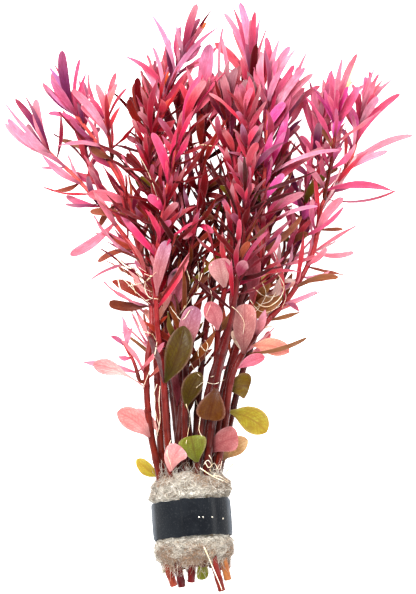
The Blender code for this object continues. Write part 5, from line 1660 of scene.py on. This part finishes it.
ROOT_STEP = 0.8 * MM
ROOT_TAPER = 0.6  # of its thickness, lost at its end
# The wool's coarse surface, which roots lie on: faces round it, and its sections in millimetres
PLUG_SIDES = 24
PLUG_SECTIONS = range(-16, 17, 2)


def top_at(trees, x, y):
    """The height of what is seen at a pixel, or None for the surface below the bunch."""
    eye = place(*VIEW_MIDDLE, VIEW_HEIGHT / MM)
    down = (place(x, y, 0) - eye).normalized()
    heights = []
    for tree, low, high in trees:
        ends = [place(x, y, corner.z / MM) for corner in (low, high)]
        if all(
            low[k] - MM < max(end[k] for end in ends) and min(end[k] for end in ends) < high[k] + MM
            for k in (0, 1)
        ):
            hit = tree.ray_cast(eye, down)[0]
            if hit:
                heights.append(hit.z)
    return max(heights, default=None)


def lay_root(trees, corners, width, settings):
    """A root's line over whatever is under it, without sudden drops."""
    seen = resample(smooth([Vector((x, y, 0)) for x, y in corners]), ROOT_LOOK)
    heights = [top_at(trees, point.x, point.y) for point in seen]
    floor = min([h for h in heights if h is not None], default=2 * MM)
    heights = [floor if h is None else h for h in heights]
    for _ in range(3):
        softer = list(heights)
        for i in range(1, len(heights) - 1):
            around = (heights[i - 1] + heights[i] + heights[i + 1]) / 3
            softer[i] = max(heights[i], around)
        heights = softer
    clear = width * MM * 0.5 + settings.clearance
    points = [place(p.x, p.y, (h + clear) / MM) for p, h in zip(seen, heights)]
    return resample(smooth(points), ROOT_STEP)


def build_roots(context, settings):
    """All the roots as one piece."""
    shape = Shape()
    chance = random.Random(settings.seed)
    trees = [row[2:] for row in laid_out(context)["placed"].solids]
    plug = Shape()
    for way in PLUG_SECTIONS:
        for k in range(PLUG_SIDES):
            point = wool_point(k / PLUG_SIDES * 2 * math.pi, way * MM, context.scene.rotala_wool)
            plug.vertices.append(from_plug(point))
    plug.close(0, PLUG_SIDES, len(PLUG_SECTIONS))
    trees.append(Placed().measured(plug.vertices, plug.faces[:-2]))
    for width, *places in ROOTS:
        line = lay_root(trees, zip(places[::2], places[1::2]), width, settings)
        radii = []
        for i in range(len(line)):
            taper = 1 - ROOT_TAPER * i / (len(line) - 1)
            radii.append(width * MM / 2 * taper * chance.uniform(0.85, 1.15) * settings.thickness)
        add_tube(shape, line, radii, 6, lambda i: PLAIN, lambda i, k: (0.0, 0.0, 0.0))
    return shape


# What several properties share
LENGTH = {"unit": "LENGTH", "subtype": "DISTANCE", "precision": 5}
SHARE = {"subtype": "FACTOR", "min": 0, "max": 1}
COLOUR = {"subtype": "COLOR", "min": 0, "max": 1}


class RotalaLeaves(bpy.types.PropertyGroup):
    """Sizes and numbers for the leaves."""

    leaf_rows: IntProperty(
        name="Rows", description="Sections along a leaf", default=14, min=4, max=40
    )
    leaf_columns: IntProperty(
        name="Columns", description="Faces across half of a leaf", default=3, min=1, max=12
    )
    crease: FloatProperty(
        name="Crease", description="How far a leaf is folded up along its midrib", default=0.2,
        **SHARE,
    )
    droop: FloatProperty(
        name="Edge droop", description="How far a leaf's edges turn down again", default=0.25,
        **SHARE,
    )
    wave: FloatProperty(
        name="Wave", description="Waviness of the edges", default=0.8, subtype="FACTOR", min=0,
        max=3,
    )
    twist: FloatProperty(
        name="Twist", description="The most a leaf is twisted along its length",
        default=math.radians(20), subtype="ANGLE",
    )
    thickness: FloatProperty(
        name="Thickness", description="Thickness of a leaf at its midrib", default=0.00032, **LENGTH
    )
    filler_length: FloatProperty(
        name="Small leaf length", description="Length of the leaves between the larger ones",
        default=0.016, **LENGTH,
    )
    filler_width: FloatProperty(
        name="Small leaf width", description="Width of the leaves between the larger ones",
        default=0.0029, **LENGTH,
    )
    strand_first: FloatProperty(
        name="First slender leaf", description="Way along a stem where slender leaves begin",
        default=0.57, subtype="FACTOR", min=0, max=0.9,
    )
    lean: FloatProperty(
        name="Small leaf lean", description="How far a small leaf leans out from its stem",
        default=math.radians(36), subtype="ANGLE",
    )
    tuft_length: FloatProperty(
        name="Tip leaf length", description="Length of the leaves that stand together at a tip",
        default=0.017, **LENGTH,
    )
    see_through: FloatProperty(
        name="Light through", description="Share of light that comes through a leaf", default=0.48,
        **SHARE,
    )
    seed: IntProperty(name="Seed", description="Varies the small leaves", default=11)


class RotalaStems(bpy.types.PropertyGroup):
    """Sizes for the stems."""

    stem_step: FloatProperty(
        name="Section spacing", description="Distance between sections of a stem", default=0.0012,
        **LENGTH,
    )
    stem_sides: IntProperty(
        name="Sides", description="Faces round a stem", default=12, min=6, max=32
    )
    joint_spacing: FloatProperty(
        name="Joint spacing", description="Distance between a stem's joints", default=0.0095,
        **LENGTH,
    )
    joint_swell: FloatProperty(
        name="Joint swelling", description="How much thicker a stem is at a joint", default=0.16,
        **SHARE,
    )
    joint_length: FloatProperty(
        name="Joint length", description="Half the length of a joint's swelling", default=0.0009,
        **LENGTH,
    )
    seed: IntProperty(name="Seed", description="Varies the joints and shades", default=5)


class RotalaWool(bpy.types.PropertyGroup):
    """Sizes and colours for the plug of wool."""

    around: IntProperty(name="Around", description="Faces round the wool", default=190, min=24)
    along: IntProperty(name="Along", description="Faces along the wool", default=96, min=12)
    lump: FloatProperty(
        name="Lumps", description="Height of the wool's lumps", default=0.0012, **LENGTH
    )
    tuft: FloatProperty(
        name="Tufts", description="Height of the wool's small tufts", default=0.0011, **LENGTH
    )
    dome: FloatProperty(
        name="Dome", description="How far the ends of the wool stand out", default=0.0018, **LENGTH
    )
    fibres: IntProperty(name="Fibres", description="Number of loose fibres", default=4500, min=0)
    fibre_length: FloatProperty(
        name="Fibre length", description="Usual length of a fibre", default=0.0068, **LENGTH
    )
    fibre_radius: FloatProperty(
        name="Fibre radius", description="Radius of a fibre", default=0.00005, **LENGTH
    )
    stray_share: FloatProperty(
        name="Stray fibres", description="Share of the fibres that stand away", default=0.12,
        **SHARE,
    )
    wool_colour: FloatVectorProperty(
        name="Wool", description="Colour of clean wool", default=(0.95, 0.9, 0.81), **COLOUR
    )
    stain_colour: FloatVectorProperty(
        name="Stain", description="Colour of stained wool", default=(0.3, 0.17, 0.09), **COLOUR
    )
    seed: IntProperty(name="Seed", description="Varies the fibres", default=3)


class RotalaStrip(bpy.types.PropertyGroup):
    """Sizes and colours for the strip."""

    strip_rows: IntProperty(name="Rows", description="Sections round the strip", default=180)
    strip_columns: IntProperty(name="Columns", description="Faces across the strip", default=14)
    strip_crown: FloatProperty(
        name="Crown", description="How far the strip bulges outwards", default=0.0001, **LENGTH
    )
    strip_fray: FloatProperty(
        name="Rough edge", description="How uneven the cut edges are", default=0.0004, **LENGTH
    )
    strip_colour: FloatVectorProperty(
        name="Strip", description="Colour of the strip", default=(0.004, 0.005, 0.007), **COLOUR
    )
    strip_edge_colour: FloatVectorProperty(
        name="Worn strip", description="Colour where the strip is rubbed or dusty",
        default=(0.012, 0.014, 0.017), **COLOUR,
    )


class RotalaRoots(bpy.types.PropertyGroup):
    """Sizes and colours for the roots."""

    thickness: FloatProperty(
        name="Thickness", description="Scale of the roots' thickness", default=1.35, min=0.1, max=5
    )
    clearance: FloatProperty(
        name="Clearance", description="Height of a root over what it lies on", default=0.0011,
        **LENGTH,
    )
    root_colour: FloatVectorProperty(
        name="Root", description="Colour of a root", default=(0.95, 0.84, 0.66), **COLOUR
    )
    seed: IntProperty(name="Seed", description="Varies the roots' thickness", default=2)


class RotalaStage(bpy.types.PropertyGroup):
    """Floor and light."""

    floor_size: FloatProperty(
        name="Floor", description="Side of the floor", default=6.0, unit="LENGTH",
        subtype="DISTANCE",
    )
    floor_colour: FloatVectorProperty(
        name="Floor colour", description="Colour of the floor", default=(0.93, 0.93, 0.93), **COLOUR
    )
    floor_glow: FloatProperty(
        name="Floor glow", description="How brightly the floor is lit from below", default=1.2
    )
    world_strength: FloatProperty(
        name="Surrounding light", description="Strength of the light from all round", default=0.55
    )
    lamp_power: FloatProperty(
        name="Lamp power", description="Power of the large lamp", default=44.0, unit="POWER"
    )


# Angles in degrees from which an edge is sharp
SOFT = 180
STRIP_SHARP = 55
STEM_SHARP = 60
LEAF_SHARP = 50
BROAD_THICKER = 1.4  # than a narrow leaf
SENSOR = 24  # millimetres, the height of the camera's sensor
# The lamps: their places from the middle of the view in metres, their sizes, and their power as a
# share of the lamp power
LAMPS = (
    ("overhead lamp", (-0.35, 0.5, 1.2), 0.6, 1.0), ("side lamp", (0.9, -0.5, 0.9), 0.8, 0.35),
)


class ROTALA_OT_wool(bpy.types.Operator):
    """Build the plug of wool and its fibres"""

    bl_idname = "rotala.wool"
    bl_label = "Wool"

    def execute(self, context):
        settings = context.scene.rotala_wool
        body = build_wool(settings).build("wool", wool_material(settings, "wool", 0.85), SOFT)
        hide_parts("wool_wrap")
        fibres = build_fibres(settings, random.Random(settings.seed))
        piece = fibres.build("wool_fibres", wool_material(settings, "wool fibre", 1.1), SOFT)
        return {"FINISHED"}


class ROTALA_OT_strip(bpy.types.Operator):
    """Build the strip wound round the wool"""

    bl_idname = "rotala.strip"
    bl_label = "Strip"

    def execute(self, context):
        settings = context.scene.rotala_strip
        strip = build_strip(settings)
        piece = strip.build("strip", strip_material(settings), STRIP_SHARP)
        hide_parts("band")
        tree = BVHTree.FromPolygons(strip.vertices, strip.faces)
        flecks = Shape()
        chance = random.Random(len(FLECKS))
        for x, y in FLECKS:
            add_fleck(flecks, tree, x, y, chance)
        piece = flecks.build("strip_flecks", bpy.data.materials["wool fibre"], SOFT)
        return {"FINISHED"}


class ROTALA_OT_stems(bpy.types.Operator):
    """Build the stems and side shoots"""

    bl_idname = "rotala.stems"
    bl_label = "Stems"

    def execute(self, context):
        settings = context.scene.rotala_stems
        material = stem_material()
        chance = random.Random(settings.seed)
        for name in (*ROUTES, *SHOOTS):
            shape = Shape()
            add_stem(shape, name, settings, chance)
            piece = shape.build(name + "_stalk", material, STEM_SHARP)
            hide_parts(name)
        return {"FINISHED"}


class ROTALA_OT_narrow_leaves(bpy.types.Operator):
    """Build the narrow leaves of each stem"""

    bl_idname = "rotala.narrow_leaves"
    bl_label = "Narrow leaves"

    def execute(self, context):
        settings = context.scene.rotala_leaves
        material = leaf_material(
            "narrow leaf", settings, pairs=7.0, vein_strength=0.4, net_strength=0.15, roughness=0.42
        )
        chance = random.Random(settings.seed)
        for name, leaves in laid_out(context)["narrow"].items():
            shape = Shape()
            for leaf in leaves:
                add_leaf(shape, leaf, settings, chance, settings.thickness)
            piece = shape.build(name + "_leaves", material, LEAF_SHARP)
        return {"FINISHED"}


class ROTALA_OT_broad_leaves(bpy.types.Operator):
    """Build the broad leaves low on the stems"""

    bl_idname = "rotala.broad_leaves"
    bl_label = "Broad leaves"

    def execute(self, context):
        settings = context.scene.rotala_leaves
        material = leaf_material(
            "broad leaf", settings, pairs=11.0, vein_strength=0.85, net_strength=0.5, roughness=0.4
        )
        chance = random.Random(settings.seed + 1)
        for number, leaf in enumerate(laid_out(context)["broad"], 1):
            node = f"broad_leaf_{number:02d}"
            shape = Shape()
            thickness = settings.thickness * BROAD_THICKER
            add_leaf(shape, leaf, settings, chance, thickness, node == DAMAGED_LEAF)
            name = node.replace("broad_leaf", "broad_blade")
            piece = shape.build(name, material, LEAF_SHARP)
            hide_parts(node)
        return {"FINISHED"}


class ROTALA_OT_roots(bpy.types.Operator):
    """Build the fine roots over the bunch"""

    bl_idname = "rotala.roots"
    bl_label = "Roots"

    def execute(self, context):
        settings = context.scene.rotala_roots
        build_roots(context, settings).build("roots", root_material(settings), SOFT)
        return {"FINISHED"}


class ROTALA_OT_stage(bpy.types.Operator):
    """Set the floor, the lights and the camera straight above"""

    bl_idname = "rotala.stage"
    bl_label = "Stage"

    def execute(self, context):
        settings = context.scene.rotala_stage
        scene = context.scene
        half = settings.floor_size / 2
        corners = [(-half, -half, 0), (half, -half, 0), (half, half, 0), (-half, half, 0)]
        mesh = bpy.data.meshes.new("floor")
        mesh.from_pydata(corners, [], [(0, 1, 2, 3)])
        material, nodes, shader = new_material("floor", 0.9)
        paper = nodes.noise(nodes.where(), 60.0)
        colour = tuple(settings.floor_colour)
        tinted = nodes.mix(paper, tuple(c * 0.985 for c in colour), colour)
        nodes.fill(
            shader, base_color=tinted, specular_ior_level=0.1, emission_color=(1, 1, 1, 1),
            emission_strength=settings.floor_glow,
        )
        mesh.materials.append(material)
        floor = bpy.data.objects.new("floor", mesh)
        scene.collection.objects.link(floor)

        world = bpy.data.worlds.new("pale surroundings")
        world.use_nodes = True
        sky = world.node_tree.nodes["Background"]
        Nodes(world.node_tree).fill(sky, color=(1, 1, 1, 1), strength=settings.world_strength)
        scene.world = world
        middle = place(*VIEW_MIDDLE, 0)
        for name, offset, size, share in LAMPS:
            lamp = bpy.data.lights.new(name, "AREA")
            lamp.size = size
            lamp.energy = settings.lamp_power * share
            thing = bpy.data.objects.new(name, lamp)
            thing.location = middle + Vector(offset)
            thing.rotation_euler = (-Vector(offset)).to_track_quat("-Z", "Y").to_euler()
            scene.collection.objects.link(thing)

        camera = bpy.data.objects.new("camera", bpy.data.cameras.new("camera"))
        camera.location = (middle.x, middle.y, VIEW_HEIGHT)
        camera.data.sensor_fit = "VERTICAL"
        camera.data.sensor_height = SENSOR
        camera.data.lens = SENSOR * VIEW_HEIGHT / (VIEW_SIZE[1] * PIXEL)
        camera.data.clip_end = 20
        scene.collection.objects.link(camera)
        scene.camera = camera
        scene.view_settings.view_transform = "Standard"
        return {"FINISHED"}


GROUPS = {
    "rotala_leaves": RotalaLeaves, "rotala_stems": RotalaStems, "rotala_wool": RotalaWool,
    "rotala_strip": RotalaStrip, "rotala_roots": RotalaRoots, "rotala_stage": RotalaStage,
}
OPERATORS = (
    ROTALA_OT_wool, ROTALA_OT_strip, ROTALA_OT_stems, ROTALA_OT_narrow_leaves,
    ROTALA_OT_broad_leaves, ROTALA_OT_roots, ROTALA_OT_stage,
)


class ROTALA_PT_panel(bpy.types.Panel):
    """Lists what builds the bunch, with its settings"""

    bl_idname = "ROTALA_PT_panel"
    bl_label = "Rotala bunch"
    bl_space_type = "VIEW_3D"
    bl_region_type = "UI"
    bl_category = "Rotala"

    def draw(self, context):
        for operator in OPERATORS:
            self.layout.operator(operator.bl_idname)
        for name in GROUPS:
            group = getattr(context.scene, name)
            box = self.layout.box()
            box.label(text=name.replace("_", " ").capitalize())
            for key in group.bl_rna.properties.keys():
                if key not in ("rna_type", "name"):
                    box.prop(group, key)


def register():
    """Register every class, and the settings on the scene."""
    for name, group in GROUPS.items():
        bpy.utils.register_class(group)
        setattr(bpy.types.Scene, name, PointerProperty(type=group))
    for operator in OPERATORS:
        bpy.utils.register_class(operator)
    bpy.utils.register_class(ROTALA_PT_panel)


def unregister():
    """Take back what register did."""
    bpy.utils.unregister_class(ROTALA_PT_panel)
    for operator in reversed(OPERATORS):
        bpy.utils.unregister_class(operator)
    for name, group in GROUPS.items():
        delattr(bpy.types.Scene, name)
        bpy.utils.unregister_class(group)


def main():
    """Register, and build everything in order."""
    register()
    bpy.ops.rotala.wool()
    bpy.ops.rotala.strip()
    bpy.ops.rotala.stems()
    bpy.ops.rotala.narrow_leaves()
    bpy.ops.rotala.broad_leaves()
    bpy.ops.rotala.roots()
    bpy.ops.rotala.stage()


if __name__ == "__main__":
    main()
